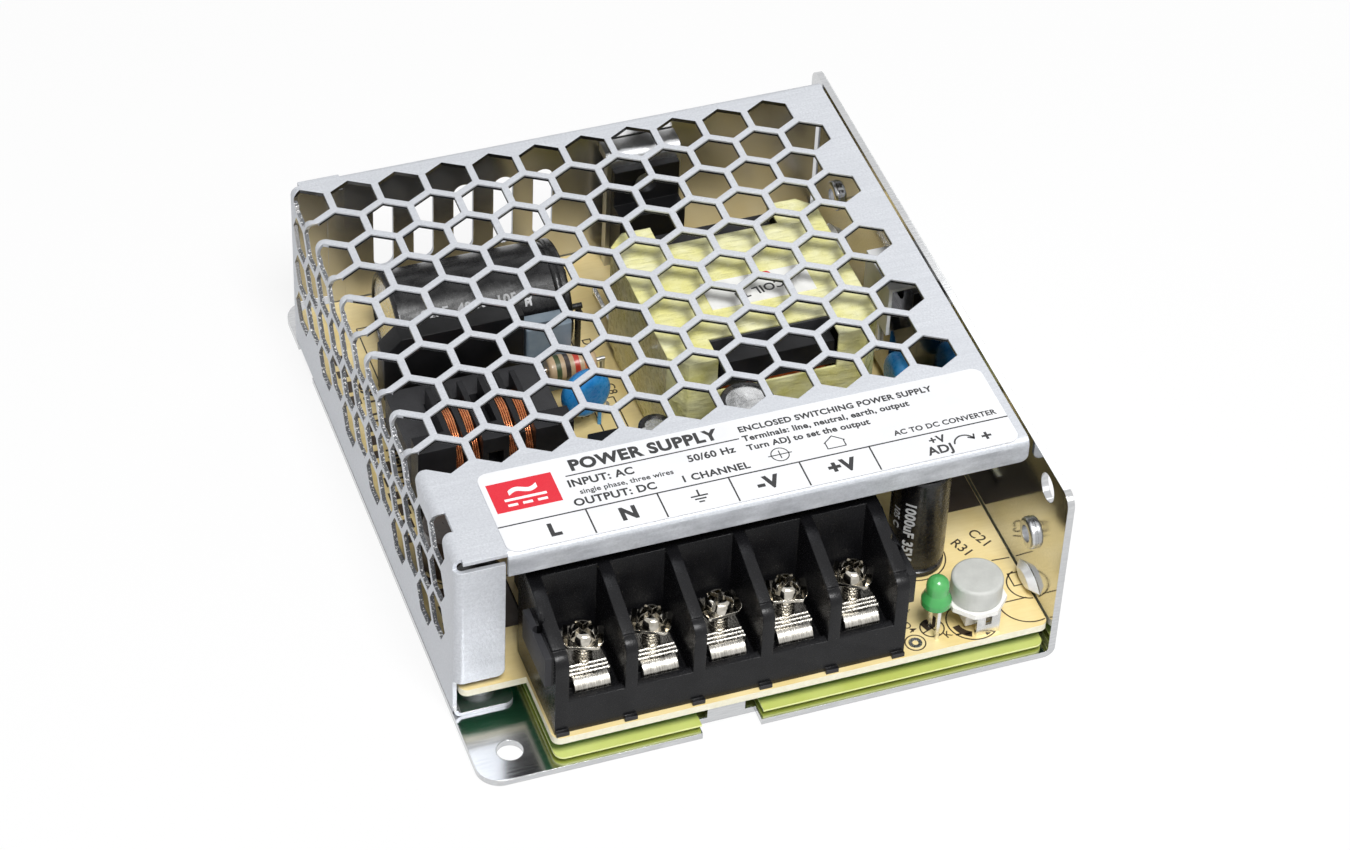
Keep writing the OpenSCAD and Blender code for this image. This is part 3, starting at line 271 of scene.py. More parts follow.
class Finish:
    """One material: its tree, its surface shader and the place on the part."""

    def __init__(self, name, **constants):
        self.material = bpy.data.materials.new(name)
        self.material.use_nodes = True
        self.tree = self.material.node_tree
        self.surface = next(n for n in self.tree.nodes if n.type == "BSDF_PRINCIPLED")
        for label, value in constants.items():
            self.surface.inputs[label.replace("_", " ")].default_value = value
        self.place = effect(self.tree, "place")["Place"]

    def calc(self, operation, first, second=0.0, third=0.0):
        return calc(self.tree, operation, first, second, third)

    def times(self, first, second):
        return self.calc("MULTIPLY", first, second)

    def plus(self, first, second):
        return self.calc("ADD", first, second)

    def below(self, value, limit):
        return self.calc("LESS_THAN", value, limit)

    def above(self, value, limit):
        return self.calc("GREATER_THAN", value, limit)

    def between(self, mask, start, end):
        """Start where the mask is nothing, end where it is one."""
        return rise(self.tree, mask, 0.0, 1.0, start, end)

    def mix(self, factor, first, second):
        return mix(self.tree, factor, first, second)

    def tint(self, shade, mask, share, colour):
        """Bring a share of another colour into a shade where the mask is one."""
        return self.mix(self.times(mask, share), shade, colour)

    def effect(self, name, **inputs):
        return effect(self.tree, name, **{"Place": self.place, **inputs})

    def skin(self, grain_scale, mottle_scale):
        return self.effect("grain", Grain_Scale=grain_scale, Mottle_Scale=mottle_scale)

    def streak(self, stretch, scale):
        return self.effect("streak", Stretch=stretch, Scale=scale)["Streak"]

    def rub(self, scale, cover):
        return self.effect("rub", Scale=scale, Cover=cover)["Mask"]

    def within(self, box):
        """One inside the box given by its low and high corner."""
        return self.effect("box", Low=box[0], High=box[1])["Mask"]

    def axes(self):
        return split(self.tree, self.place)

    def normal(self):
        return split(self.tree, put(self.tree, "ShaderNodeTexCoord").outputs["Normal"])

    def side_mask(self):
        """One on upright faces, nothing on level ones."""
        level = self.calc("ABSOLUTE", self.normal()[2])
        return self.below(level, UPRIGHT)

    def feed(self, label, socket):
        self.tree.links.new(socket, self.surface.inputs[label])

    def colour(self, socket):
        self.feed("Base Color", socket)

    def rough(self, mask, low, high):
        self.feed("Roughness", self.between(mask, low, high))

    def relief(self, height, depth, edge=0.0):
        """Bump of the given depth in millimetres over edges rounded by edge millimetres."""
        inputs = {"Height": height, "Strength": 1.0, "Distance": depth * MM}
        if edge:
            rounded = put(self.tree, "ShaderNodeBevel", {"Radius": edge * MM}, samples=4)
            inputs["Normal"] = rounded.outputs[0]
        self.feed("Normal", put(self.tree, "ShaderNodeBump", inputs).outputs[0])


def plain(name, dark, light, scales, rough, depth, edge=0.0, follows="Mottle", **constants):
    """A finish of two tones: its colour by the mottle, its roughness by the grain, its relief by either."""
    f = Finish(name, **constants)
    skin = f.skin(*scales)
    f.colour(f.mix(skin["Mottle"], dark, light))
    f.rough(skin["Grain"], *rough)
    f.relief(skin[follows], depth, edge)
    return f.material


# Finishes of the sheets

# Boxes on the cover: its front lip, the torn lower edge of the roof's holes, the cut edge of the left wall's
# Lip: its dark streaks are partly the sheet's own streaks and partly painted dark reflection
LIP = ((7.1, 12.2, 25.5), (82.0, 12.9, 29.1))
# Torn edge: painted near black as the shade along the lower edge of the roof's holes
TORN_EDGE_SHADE = ((1.8, 22.0, 29.41), (79.5, 94.0, 29.74))
# Cut edge: painted a darker grey, partly the bare cut and partly shade, with painted white glints
CUT_EDGE_GLINTS = ((0.03, 14.6, 4.0), (0.57, 90.8, 28.4))

# How far in the inside of the walls is looked for, where the rear wall's begins, and the roof's underside,
# which is painted dark as shade
WALL_INSET = 2.0
REAR_INSIDE = 88.0
ROOF_LOW = 29.2

# Boxes on the chassis: what is pressed out of its right wall, and the lugs by the board, painted pale as a
# highlight
PRESSED = ((70.0, 2.0, 7.0), (80.93, 40.0, 26.0))
LUGS = ((79.5, 2.0, 6.2), (80.93, 95.0, 9.6))
BASE_PLATE_TOP = 1.7


def inner_side(f):
    """One on faces that look into the case from its walls and roof, and on top of the cover's feet."""
    place = f.axes()
    normal = f.normal()

    def facing(axis, sign):
        return f.above(f.times(normal[axis], sign), FACING)

    def beyond(axis, limit, sign):
        return f.above(f.times(f.calc("SUBTRACT", place[axis], limit), sign), 0.0)

    roof = f.times(facing(2, -1.0), beyond(2, CASE_H - WALL_INSET, 1.0))
    left = f.times(facing(0, 1.0), beyond(0, WALL_INSET, -1.0))
    rear = f.times(facing(1, -1.0), beyond(1, REAR_INSIDE, 1.0))
    foot = f.times(facing(2, 1.0), beyond(2, BOARD_LOW, -1.0))
    walls = f.calc("MAXIMUM", left, rear)
    return f.calc("MAXIMUM", f.calc("MAXIMUM", roof, foot), walls)


def galvanised_sheet():
    """Zinc-coated steel: fine grain and rolling streaks outside, smooth and mirror-like inside; painted
    light and shade on the lip, the holes' edges and the roof's underside.
    """
    f = Finish("galvanised_sheet")
    skin = f.skin(3.2, 0.22)
    rolled = f.streak((0.1, 1.8, 1.8), 1.1)
    lip_streaks_and_reflection = f.streak((0.4, 1.0, 1.0), 0.55)
    shade = f.mix(skin["Grain"], tone(190, 193, 199), tone(219, 222, 227))
    shade = f.tint(shade, skin["Mottle"], 0.35, tone(200, 203, 209))
    shade = f.tint(shade, rolled, 0.3, tone(174, 177, 183))
    shade = f.tint(shade, f.rub(0.35, 0.3), 0.12, tone(180, 182, 186))
    # Painted reflection: dark streaks on the lip, partly the sheet's own streaks and partly the dark
    # reflection the lip shows
    shade = f.tint(shade, f.times(lip_streaks_and_reflection, f.within(LIP)), 0.44, tone(104, 106, 112))
    # Painted shade: the torn lower edge of the roof's holes is painted near black
    shade = f.mix(f.within(TORN_EDGE_SHADE), shade, tone(30, 31, 34))
    # Painted highlight: white glints and darker grey shade on the cut faces of the left wall's holes
    painted_glints = f.mix(f.above(skin["Grain"], 0.7), tone(116, 118, 122), tone(250, 250, 250))
    shade = f.mix(f.within(CUT_EDGE_GLINTS), shade, painted_glints)
    inside = inner_side(f)
    outside = f.calc("SUBTRACT", 1.0, inside)
    # Painted shade: the underside of the roof is painted dark grey
    under = f.times(inside, f.above(f.axes()[2], ROOF_LOW))
    inside_with_roof_shade = f.mix(under, tone(198, 197, 196), tone(84, 84, 84))
    f.colour(f.mix(inside, shade, inside_with_roof_shade))
    f.feed("Metallic", f.between(inside, 0.5, 0.95))
    rough = f.between(skin["Grain"], 0.36, 0.52)
    f.feed("Roughness", f.plus(f.times(rough, outside), f.times(inside, 0.26)))
    f.relief(f.times(skin["Grain"], outside), 0.012, 0.12)
    return f.material


def bright_sheet(name, stretch, rough_low, rough_high, depth, base_rough=0.0):
    """Bright aluminium, painted pale on the lugs as a highlight, duller where it is pressed and by
    base_rough on the base.
    """
    f = Finish(name)
    streak = f.streak(stretch, 1.6)
    skin = f.skin(1.4, 0.12)
    lug = f.within(LUGS)
    shade = f.mix(streak, tone(192, 193, 195), tone(212, 213, 214))
    shade = f.tint(shade, skin["Mottle"], 0.3, tone(184, 186, 188))
    # Painted highlight: the lugs are painted near white and made less metallic so that they look lit
    f.colour(f.mix(lug, shade, tone(246, 247, 248)))
    f.feed("Metallic", f.between(lug, 1.0, 0.4))
    base = f.below(f.axes()[2], BASE_PLATE_TOP)
    duller = f.plus(f.times(base, base_rough), f.times(f.within(PRESSED), 0.22))
    f.feed("Roughness", f.plus(f.between(streak, rough_low, rough_high), duller))
    f.relief(f.plus(skin["Mottle"], f.times(streak, 0.12)), depth, 0.14)
    return f.material


# Finishes of the metal pieces

THREAD_PITCH = 0.5
SHANK_TOP = 16.4


def plated(name, dark, light, rough_low, rough_high, thread=False, metal=1.0):
    """Bright plating with faint drawing marks. Metal is the share that mirrors in its own colour. With
    thread, the shank below the head carries a thread's ridges."""
    f = Finish(name, Metallic=metal)
    skin = f.skin(2.4, 0.6)
    f.colour(f.mix(skin["Mottle"], dark, light))
    f.rough(skin["Grain"], rough_low, rough_high)
    height = f.times(skin["Mottle"], 0.1)
    if thread:
        level = f.axes()[2]
        ridge = f.times(f.calc("PINGPONG", level, THREAD_PITCH / 2), 3.0)
        height = f.plus(height, f.times(ridge, f.below(level, SHANK_TOP)))
    f.relief(height, 0.04, 0.08)
    return f.material


def brushed_plate():
    """Nickel strip with fine lines drawn along its length, round the front roll too."""
    f = Finish("brushed_plate", Metallic=1.0)
    fine = f.streak((5.0, 0.35, 0.35), 1.5)
    broad = f.streak((0.9, 0.6, 0.6), 1.0)
    shade = f.mix(fine, tone(122, 119, 113), tone(196, 192, 184))
    f.colour(f.tint(shade, broad, 0.4, tone(214, 211, 204)))
    f.rough(fine, 0.16, 0.34)
    f.relief(fine, 0.012, 0.1)
    return f.material


def copper_wire(name, dark, light):
    varnish = {"Metallic": 0.85, "Coat_Weight": 0.5, "Coat_Roughness": 0.15}
    return plain(name, dark, light, (3.0, 0.7), (0.2, 0.3), 0.004, **varnish)


# Finishes of label, print, film, board and tag

# Height that parts the film's two leaves, the lower one painted darker as shade, and the place and size of
# the tag's dot
LOWER_LEAF = 1.6
TAG_DOT = (60.0, 58.5, 25.9)
TAG_DOT_RADIUS = 0.75


def label_film():
    tones = (tone(234, 235, 238), tone(240, 241, 243))
    satin = {"Coat_Weight": 0.15, "Coat_Roughness": 0.3}
    return plain("label_film", *tones, (5.0, 0.15), (0.42, 0.55), 0.004, follows="Grain", **satin)


def ink(name, colour, other):
    f = Finish(name)
    skin = f.skin(6.0, 0.5)
    f.colour(f.mix(skin["Grain"], colour, other))
    f.rough(skin["Mottle"], 0.4, 0.55)
    return f.material


def insulating_film():
    """Yellow-green film, painted darker on the lower leaf as its shade, and paler along its cut edges."""
    f = Finish("insulating_film")
    skin = f.skin(2.0, 0.12)
    lower = f.below(f.axes()[2], LOWER_LEAF)
    face = f.mix(skin["Mottle"], tone(194, 202, 104), tone(209, 216, 128))
    # Painted shade: the lower leaf and its rim are painted darker than the upper leaf
    face = f.mix(lower, face, tone(146, 156, 74))
    rim = f.mix(lower, tone(226, 232, 158), tone(170, 178, 104))
    f.colour(f.mix(f.side_mask(), face, rim))
    f.rough(skin["Grain"], 0.28, 0.42)
    f.relief(skin["Mottle"], 0.03)
    return f.material


def tan_board():
    """Tan board with a faint weave, pale cut edges and a green lacquered underside."""
    f = Finish("tan_board")
    skin = f.skin(1.1, 0.18)
    weave = f.streak((0.25, 2.4, 1.0), 1.2)
    face = f.mix(skin["Mottle"], tone(236, 213, 148), tone(245, 226, 171))
    face = f.tint(face, weave, 0.2, tone(208, 180, 114))
    cut = f.mix(skin["Grain"], tone(232, 226, 198), tone(242, 238, 218))
    lacquered = f.mix(skin["Mottle"], tone(34, 116, 76), tone(48, 132, 90))
    underside = f.below(f.axes()[2], BOARD_LOW + 0.02)
    face = f.mix(f.side_mask(), face, cut)
    f.colour(f.mix(underside, face, lacquered))
    f.rough(skin["Grain"], 0.3, 0.5)
    f.relief(weave, 0.008, 0.08)
    return f.material


def paper_tag():
    f = Finish("paper_tag")
    skin = f.skin(3.0, 0.4)
    shade = f.mix(skin["Mottle"], tone(232, 232, 228), tone(243, 243, 240))
    dot = f.below(f.effect("round", Centre=TAG_DOT)["Radius"], TAG_DOT_RADIUS)
    f.colour(f.mix(dot, shade, tone(205, 40, 40)))
    f.rough(skin["Grain"], 0.5, 0.65)
    f.relief(skin["Grain"], 0.01)
    return f.material


# Finishes of the mouldings, with how deep the block's texture and its painted light go, and the lens from
# its rim to its top, over which it is painted paler

FRONT_TEXTURE = 0.06
SIDE_TEXTURE = 0.9
LENS_RIM = 11.0
LENS_TOP = 16.0


def barrier_moulding():
    """Black plastic of the terminal block: fine matte texture outside, gloss in the cells; the outer faces
    painted lighter as lit and the cells darker as shade.
    """
    f = Finish("barrier_moulding", Specular_IOR_Level=0.24)
    skin = f.skin(5.5, 0.3)
    place = f.axes()
    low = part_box("terminal_block")[0]
    front = f.below(place[1], low.y / MM + CASE_L / 2 + FRONT_TEXTURE)
    left = f.below(place[0], low.x / MM + CASE_W / 2 + SIDE_TEXTURE)
    matte = f.calc("MAXIMUM", front, left)
    # Painted light and shade: the glossy cells are painted darker, the matte front and left faces lighter as
    # lit
    gloss = f.mix(skin["Mottle"], tone(15, 15, 17), tone(21, 21, 23))
    textured_and_lit = f.mix(skin["Grain"], tone(40, 40, 43), tone(50, 50, 53))
    f.colour(f.mix(matte, gloss, textured_and_lit))
    rough = f.plus(0.2, f.times(matte, 0.26))
    f.feed("Roughness", f.plus(rough, f.times(skin["Grain"], 0.1)))
    f.relief(skin["Grain"], 0.01, 0.2)
    return f.material


def black_moulding(name="black_moulding", low=0.34, high=0.48, edge=0.2, lift=1.0):
    """Black plastic. Lift scales how far its colour stands above black."""
    def black(grey, blue):
        return tone(grey * lift, grey * lift, blue * lift)

    f = Finish(name, Specular_IOR_Level=0.28)
    skin = f.skin(4.5, 0.3)
    shade = f.mix(skin["Mottle"], black(25, 28), black(33, 36))
    f.colour(f.tint(shade, f.rub(0.8, 0.25), 0.25, black(44, 48)))
    f.rough(skin["Grain"], low, high)
    f.relief(skin["Grain"], 0.01, edge)
    return f.material


def white_moulding():
    tones = (tone(232, 231, 226), tone(242, 241, 237))
    return plain("white_moulding", *tones, (3.0, 0.4), (0.34, 0.48), 0.01, 0.15, follows="Grain")


def milky_knob():
    f = Finish("milky_knob", Transmission_Weight=0.15, IOR=1.45)
    skin = f.skin(2.2, 0.5)
    shade = f.mix(skin["Mottle"], tone(204, 205, 200), tone(216, 217, 212))
    f.colour(f.tint(shade, f.streak((3.0, 3.0, 0.3), 1.0), 0.3, tone(194, 195, 191)))
    f.rough(skin["Grain"], 0.32, 0.5)
    f.relief(skin["Grain"], 0.02, 0.15)
    return f.material


def green_lens():
    """Green lens of the lamp, painted paler towards its top as the lit part of its dome."""
    clear = {"Transmission_Weight": 0.25, "IOR": 1.5, "Coat_Weight": 0.3, "Coat_Roughness": 0.1}
    f = Finish("green_lens", **clear)
    skin = f.skin(1.5, 0.5)
    level = rise(f.tree, f.axes()[2], LENS_RIM, LENS_TOP)
    # Painted light: the lens's colour is paler towards its top
    shade = f.mix(level, tone(62, 172, 86), tone(100, 202, 112))
    f.colour(f.tint(shade, skin["Mottle"], 0.3, tone(58, 158, 80)))
    f.rough(skin["Grain"], 0.16, 0.26)
    f.relief(skin["Mottle"], 0.01)
    return f.material


# Finishes of the parts on the board

# Mark on the grey box; ends of the resistor's body, width of its bands, and where each begins
BOX_MARK = ((27.8, 64.9, 18.0), (31.6, 65.7, 19.5))
RESISTOR_ENDS = (28.75, 36.05)
BAND_WIDTH = 0.75
BANDS = (
    (29.9, tone(70, 84, 52)), (31.3, tone(58, 50, 48)),
    (32.7, tone(198, 62, 42)), (34.1, tone(222, 122, 64)))


def shrunk_sleeve(name, centre, top, radius, stripe, marks=None, lying=False):
    """Black shrunk sleeve over a can whose end is bare and scored: a paler stripe, and two rows of pale
    marks if their angle is given."""
    f = Finish(name)
    place = f.place
    if lying:
        part = f.axes()
        turned = {0: part[1], 1: part[2], 2: f.times(part[0], -1.0)}
        place = put(f.tree, "ShaderNodeCombineXYZ", turned).outputs[0]
    field = f.effect("round", Place=place, Centre=centre)
    height = split(f.tree, place)[2]
    skin = f.skin(1.6, 0.4)

    def beside(angle):
        away = f.calc("SUBTRACT", field["Angle"], angle)
        return f.calc("ABSOLUTE", f.calc("WRAP", away, math.pi, -math.pi))

    def row(angle, wide, period, on):
        """Short marks along the can, with a longer gap now and then."""
        near = f.below(beside(angle), wide / radius)
        mark = f.below(f.calc("PINGPONG", height, period), on)
        kept = f.above(f.calc("PINGPONG", height, period * 3.7), period)
        return f.times(near, f.times(mark, kept))

    shade = f.mix(skin["Mottle"], tone(14, 14, 16), tone(24, 24, 26))
    shade = f.mix(f.below(beside(stripe), 0.26), shade, tone(70, 66, 60))
    if marks is not None:
        first = row(marks, 0.42, 0.42, 0.26)
        second = row(marks - 2.4 / radius, 0.26, 0.36, 0.22)
        shade = f.mix(f.calc("MAXIMUM", first, second), shade, tone(206, 207, 208))
    end = f.times(f.above(height, top - 0.5), f.below(field["Radius"], radius - 0.95))
    f.colour(f.mix(end, shade, tone(214, 215, 216)))
    f.feed("Metallic", end)
    f.rough(skin["Grain"], 0.2, 0.32)
    third = f.calc("ABSOLUTE", f.calc("SINE", f.times(field["Angle"], 1.5)))
    score = f.times(f.below(third, 0.06), end)
    depth = 0.006 if lying else 0.03
    f.relief(f.calc("SUBTRACT", skin["Mottle"], f.times(score, 3.0)), depth, 0.12)
    return f.material


def lacquer(name, dark, light, rough=0.22):
    gloss = {"Coat_Weight": 0.4, "Coat_Roughness": 0.12}
    return plain(name, dark, light, (2.0, 0.5), (rough, rough + 0.15), 0.05, 0.1, **gloss)


def grey_box():
    f = Finish("grey_box")
    skin = f.skin(2.5, 0.4)
    shade = f.mix(skin["Mottle"], tone(122, 138, 152), tone(140, 154, 166))
    f.colour(f.mix(f.within(BOX_MARK), shade, tone(60, 70, 80)))
    f.rough(skin["Grain"], 0.3, 0.42)
    f.relief(skin["Grain"], 0.01, 0.25)
    return f.material


def banded_body():
    """Resistor along X: coloured bands on its body, bare wire beyond its ends."""
    f = Finish("banded_body", Coat_Weight=0.3, Coat_Roughness=0.15)
    skin = f.skin(2.0, 0.6)
    across = f.axes()[0]
    shade = f.mix(skin["Mottle"], tone(196, 168, 132), tone(212, 186, 152))
    for start, colour in BANDS:
        band = f.times(f.above(across, start), f.below(across, start + BAND_WIDTH))
        shade = f.mix(band, shade, colour)
    bare = f.plus(f.below(across, RESISTOR_ENDS[0]), f.above(across, RESISTOR_ENDS[1]))
    f.colour(f.mix(bare, shade, tone(206, 206, 206)))
    f.feed("Metallic", bare)
    f.rough(skin["Grain"], 0.25, 0.38)
    f.relief(skin["Mottle"], 0.03)
    return f.material


def ferrite():
    f = Finish("ferrite")
    skin = f.skin(6.0, 0.5)
    f.colour(f.mix(skin["Grain"], tone(38, 38, 40), tone(58, 58, 61)))
    f.rough(skin["Mottle"], 0.42, 0.6)
    f.relief(skin["Grain"], 0.03, 0.2)
    return f.material


def yellow_tape():
    f = Finish("yellow_tape", Coat_Weight=0.5, Coat_Roughness=0.12)
    skin = f.skin(0.9, 0.25)
    wrinkle = f.streak((0.5, 2.2, 1.4), 0.5)
    shade = f.mix(skin["Mottle"], tone(236, 231, 152), tone(246, 244, 198))
    f.colour(f.tint(shade, wrinkle, 0.4, tone(206, 200, 104)))
    f.rough(skin["Grain"], 0.2, 0.36)
    f.relief(wrinkle, 0.12, 0.3)
    return f.material


# Which piece has which finish

NICKEL = (tone(166, 161, 150), tone(206, 201, 191))

finish = {
    "cover": galvanised_sheet(),
    "chassis": bright_sheet("chassis_sheet", (0.2, 2.0, 2.0), 0.06, 0.13, 0.006, 0.09),
    "heatsink": bright_sheet("heatsink_sheet", (2.0, 2.0, 0.2), 0.28, 0.4, 0.02),
    "label": label_film(),
    "print": ink("black_ink", tone(26, 26, 28), tone(40, 40, 42)),
    "red_print": ink("red_ink", tone(212, 30, 48), tone(222, 44, 60)),
    "pale_print": ink("pale_ink", tone(190, 191, 193), tone(208, 209, 211)),
    "white_print": ink("white_ink", tone(244, 244, 244), tone(250, 250, 250)),
    "board_print_and_painted_shade": ink("board_ink_and_painted_shade", tone(44, 34, 24), tone(66, 52, 38)),
    "film": insulating_film(),
    "board": tan_board(),
    "barrier": barrier_moulding(),
    "moulding": black_moulding(),
    "body": black_moulding("black_body", 0.34, 0.46, 0.15, 0.6),
    "plate": brushed_plate(),
    "nickel": plated("bright_nickel", *NICKEL, 0.06, 0.14),
    "screw": plated("nickel_screw", *NICKEL, 0.05, 0.12, thread=True),
    "zinc": plated("zinc_screw", tone(196, 198, 200), tone(220, 222, 224), 0.22, 0.34),
    # Painted highlight: the rectifier's clip is near white and barely metallic so that it looks lit
    "spring": plated("spring_strip_painted_highlight", tone(244, 245, 246), tone(252, 252, 252), 0.3, 0.42, metal=0.2),
    "bright_case": plated("bright_case", tone(136, 136, 138), tone(158, 158, 160), 0.08, 0.14),
    "tinned": plated("tinned_wire", tone(206, 206, 204), tone(230, 230, 228), 0.18, 0.3),
    "solder": plated("soft_solder", tone(188, 188, 186), tone(216, 216, 214), 0.2, 0.36),
    "lens": green_lens(),
    "white": white_moulding(),
    "knob": milky_knob(),
    "sleeve_front": shrunk_sleeve("sleeve_front", (67.8, 17.6, 0.0), 24.2, 4.0, -0.75),
    "sleeve_rear": shrunk_sleeve("sleeve_rear", (49.4, 36.6, 0.0), 24.2, 4.0, 2.2, -2.4),
    "sleeve_small": shrunk_sleeve("sleeve_small", (38.4, 42.6, 0.0), 17.2, 2.5, 1.0, -2.0),
    "sleeve_coil": shrunk_sleeve("sleeve_coil", (61.5, 31.0, 0.0), 40.0, 4.6, 1.0, -2.0),
    "sleeve_bulk": shrunk_sleeve("sleeve_bulk", (75.8, 14.4, 0.0), -9.3, 8.0, -1.6, lying=True),
    "grey_box": grey_box(),
    "ferrite": ferrite(),
    "copper": copper_wire("copper_wire", tone(206, 122, 70), tone(226, 148, 96)),
    # Painted shade: the copper under the turns is dark brown for the shade in the gaps between the wires
    "copper_under_painted_shade": copper_wire("copper_under_painted_shade", tone(52, 28, 18), tone(70, 38, 24)),
    "blue": lacquer("blue_lacquer", tone(34, 134, 212), tone(60, 160, 230)),
    "black_dip": lacquer("black_lacquer", tone(22, 22, 22), tone(34, 33, 32), 0.3),
    "brown": lacquer("brown_lacquer", tone(62, 46, 36), tone(78, 58, 46), 0.26),
    "bands": banded_body(),
    "tape": yellow_tape(),
    "paper": paper_tag(),
}

NODE_FINISH = {
    "chassis": "chassis", "cover": "cover", "label": "label", "cover_screws": "zinc",
    "insulation_film": "film", "circuit_board": "board", "terminal_block": "barrier",
    "led_lens": "lens", "led_leads": "tinned",
    "trimmer_base": "white", "trimmer_knob": "knob", "trimmer_legs": "tinned",
    "output_capacitor_front": "sleeve_front", "output_capacitor_rear": "sleeve_rear",
    "bulk_capacitor": "sleeve_bulk", "auxiliary_capacitor": "sleeve_small", "output_choke": "sleeve_coil",
    "x_capacitor": "body", "film_capacitor": "grey_box", "banded_resistor": "bands",
    "disc_capacitor_left": "blue", "disc_capacitor_right": "blue",
    "choke_core": "ferrite", "choke_bobbin": "moulding", "choke_windings": "copper_under_painted_shade",
    "transformer_core": "ferrite", "transformer_bobbin": "moulding", "transformer_winding": "copper",
    "transformer_tape": "tape", "transformer_tag": "paper",
    "primary_heatsink": "heatsink", "primary_switch": "body",
    "output_rectifier": "bright_case", "rectifier_clip": "spring",
    "inrush_limiter": "black_dip", "fuse": "brown",
    "bridge_rectifier": "body", "optocoupler": "body", "jumper_wires": "tinned",
}
for pole in poles:
    NODE_FINISH["terminal_plate_%d" % pole] = "plate"
    NODE_FINISH["clamp_washer_%d" % pole] = "nickel"
    NODE_FINISH["terminal_screw_%d" % pole] = "screw"

node_body = {name: body for body, names in frame["record"]["behaviour"]["bodies"].items() for name in names}


def coat(obj, material):
    obj.data.materials.clear()
    obj.data.materials.append(material)


for name, obj in nodes.items():
    coat(obj, finish[NODE_FINISH[name]])


# Modelling by hand

def only(obj):
    """Leave one object selected and active."""
    bpy.ops.object.select_all(action="DESELECT")
    obj.select_set(True)
    bpy.context.view_layer.objects.active = obj


def settle(obj, name, material, body=BODY):
    """Name a finished piece, put its place into its mesh, and let it ride on its body."""
    only(obj)
    bpy.ops.object.transform_apply(location=True, rotation=True, scale=True)
    obj.name = name
    obj.data.name = name
    coat(obj, material)
    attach(obj, body)


def joined(pieces):
    bpy.ops.object.select_all(action="DESELECT")
    for piece in pieces:
        piece.select_set(True)
    bpy.context.view_layer.objects.active = pieces[0]
    bpy.ops.object.transform_apply(location=True, rotation=True, scale=True)
    bpy.ops.object.join()
    return bpy.context.object


def raised(thickness):
    """Give the flat mesh being edited a thickness upwards, and close it."""
    bpy.ops.mesh.select_all(action="SELECT")
    bpy.ops.mesh.extrude_region_move(TRANSFORM_OT_translate={"value": (0, 0, thickness)})
    bpy.ops.mesh.select_all(action="SELECT")
    bpy.ops.mesh.normals_make_consistent(inside=False)
    bpy.ops.object.mode_set(mode="OBJECT")


def bar(x, y, z, width, depth, thickness=PRINT, turn=0.0):
    """A flat printed bar about its middle, all in millimetres and degrees."""
    bpy.ops.object.select_all(action="DESELECT")
    bpy.ops.mesh.primitive_plane_add(size=1.0, location=spot(x, y, z), rotation=(0, 0, math.radians(turn)))
    piece = bpy.context.object
    piece.scale = (width * MM, depth * MM, 1.0)
    bpy.ops.object.transform_apply(location=False, rotation=False, scale=True)
    bpy.ops.object.mode_set(mode="EDIT")
    raised(thickness * MM)
    return piece


def outside_sweep(face, start, sweep):
    """Tell whether a face of a ring about the origin lies outside the kept angles."""
    angle = math.degrees(math.atan2(face.center.y, face.center.x))
    return (angle - start) % 360 > sweep


def ring(x, y, z, radius, width, thickness=PRINT, steps=48, start=0.0, sweep=360.0):
    """A flat printed ring, or the part of it from start over sweep degrees, made by inset."""
    place = spot(x, y, z)
    bpy.ops.object.select_all(action="DESELECT")
    bpy.ops.mesh.primitive_circle_add(vertices=steps, radius=radius * MM, fill_type="NGON", location=place)
    piece = bpy.context.object
    bpy.ops.object.mode_set(mode="EDIT")
    bpy.ops.mesh.select_all(action="SELECT")
    bpy.ops.mesh.inset(thickness=width * MM)
    bpy.ops.mesh.delete(type="FACE")
    if sweep < 360.0:
        bpy.ops.object.mode_set(mode="OBJECT")
        for face in piece.data.polygons:
            face.select = outside_sweep(face, start, sweep)
        bpy.ops.object.mode_set(mode="EDIT")
        bpy.ops.mesh.delete(type="FACE")
    raised(thickness * MM)
    return piece


def words(text, x, y, z, size, turn=0.0, thickness=PRINT, weight=0.03, stretch=1.0):
    """Lettering about its middle, made a mesh before it is placed. Weight thickens its strokes."""
    bpy.ops.object.select_all(action="DESELECT")
    bpy.ops.object.text_add()
    piece = bpy.context.object
    piece.data.body = text
    piece.data.size = size * MM
    piece.data.offset = weight * size * MM
    piece.data.space_character = 1.0 + 2.0 * weight
    piece.data.align_x = "CENTER"
    piece.data.align_y = "CENTER"
    piece.data.resolution_u = 4
    piece.data.extrude = thickness * MM / 2
    bpy.ops.object.convert(target="MESH")
    piece = bpy.context.object
    piece.location = spot(x, y, z + thickness / 2)
    piece.rotation_euler = (0, 0, math.radians(turn))
    piece.scale = (stretch, 1.0, 1.0)
    return piece


# Rounded mouldings, with the angles in degrees at which faces are merged, edges rounded and shading broken

FLAT_ANGLE = 0.5
SHARP_ANGLE = 35.0
SMOOTH_ANGLE = 32.0


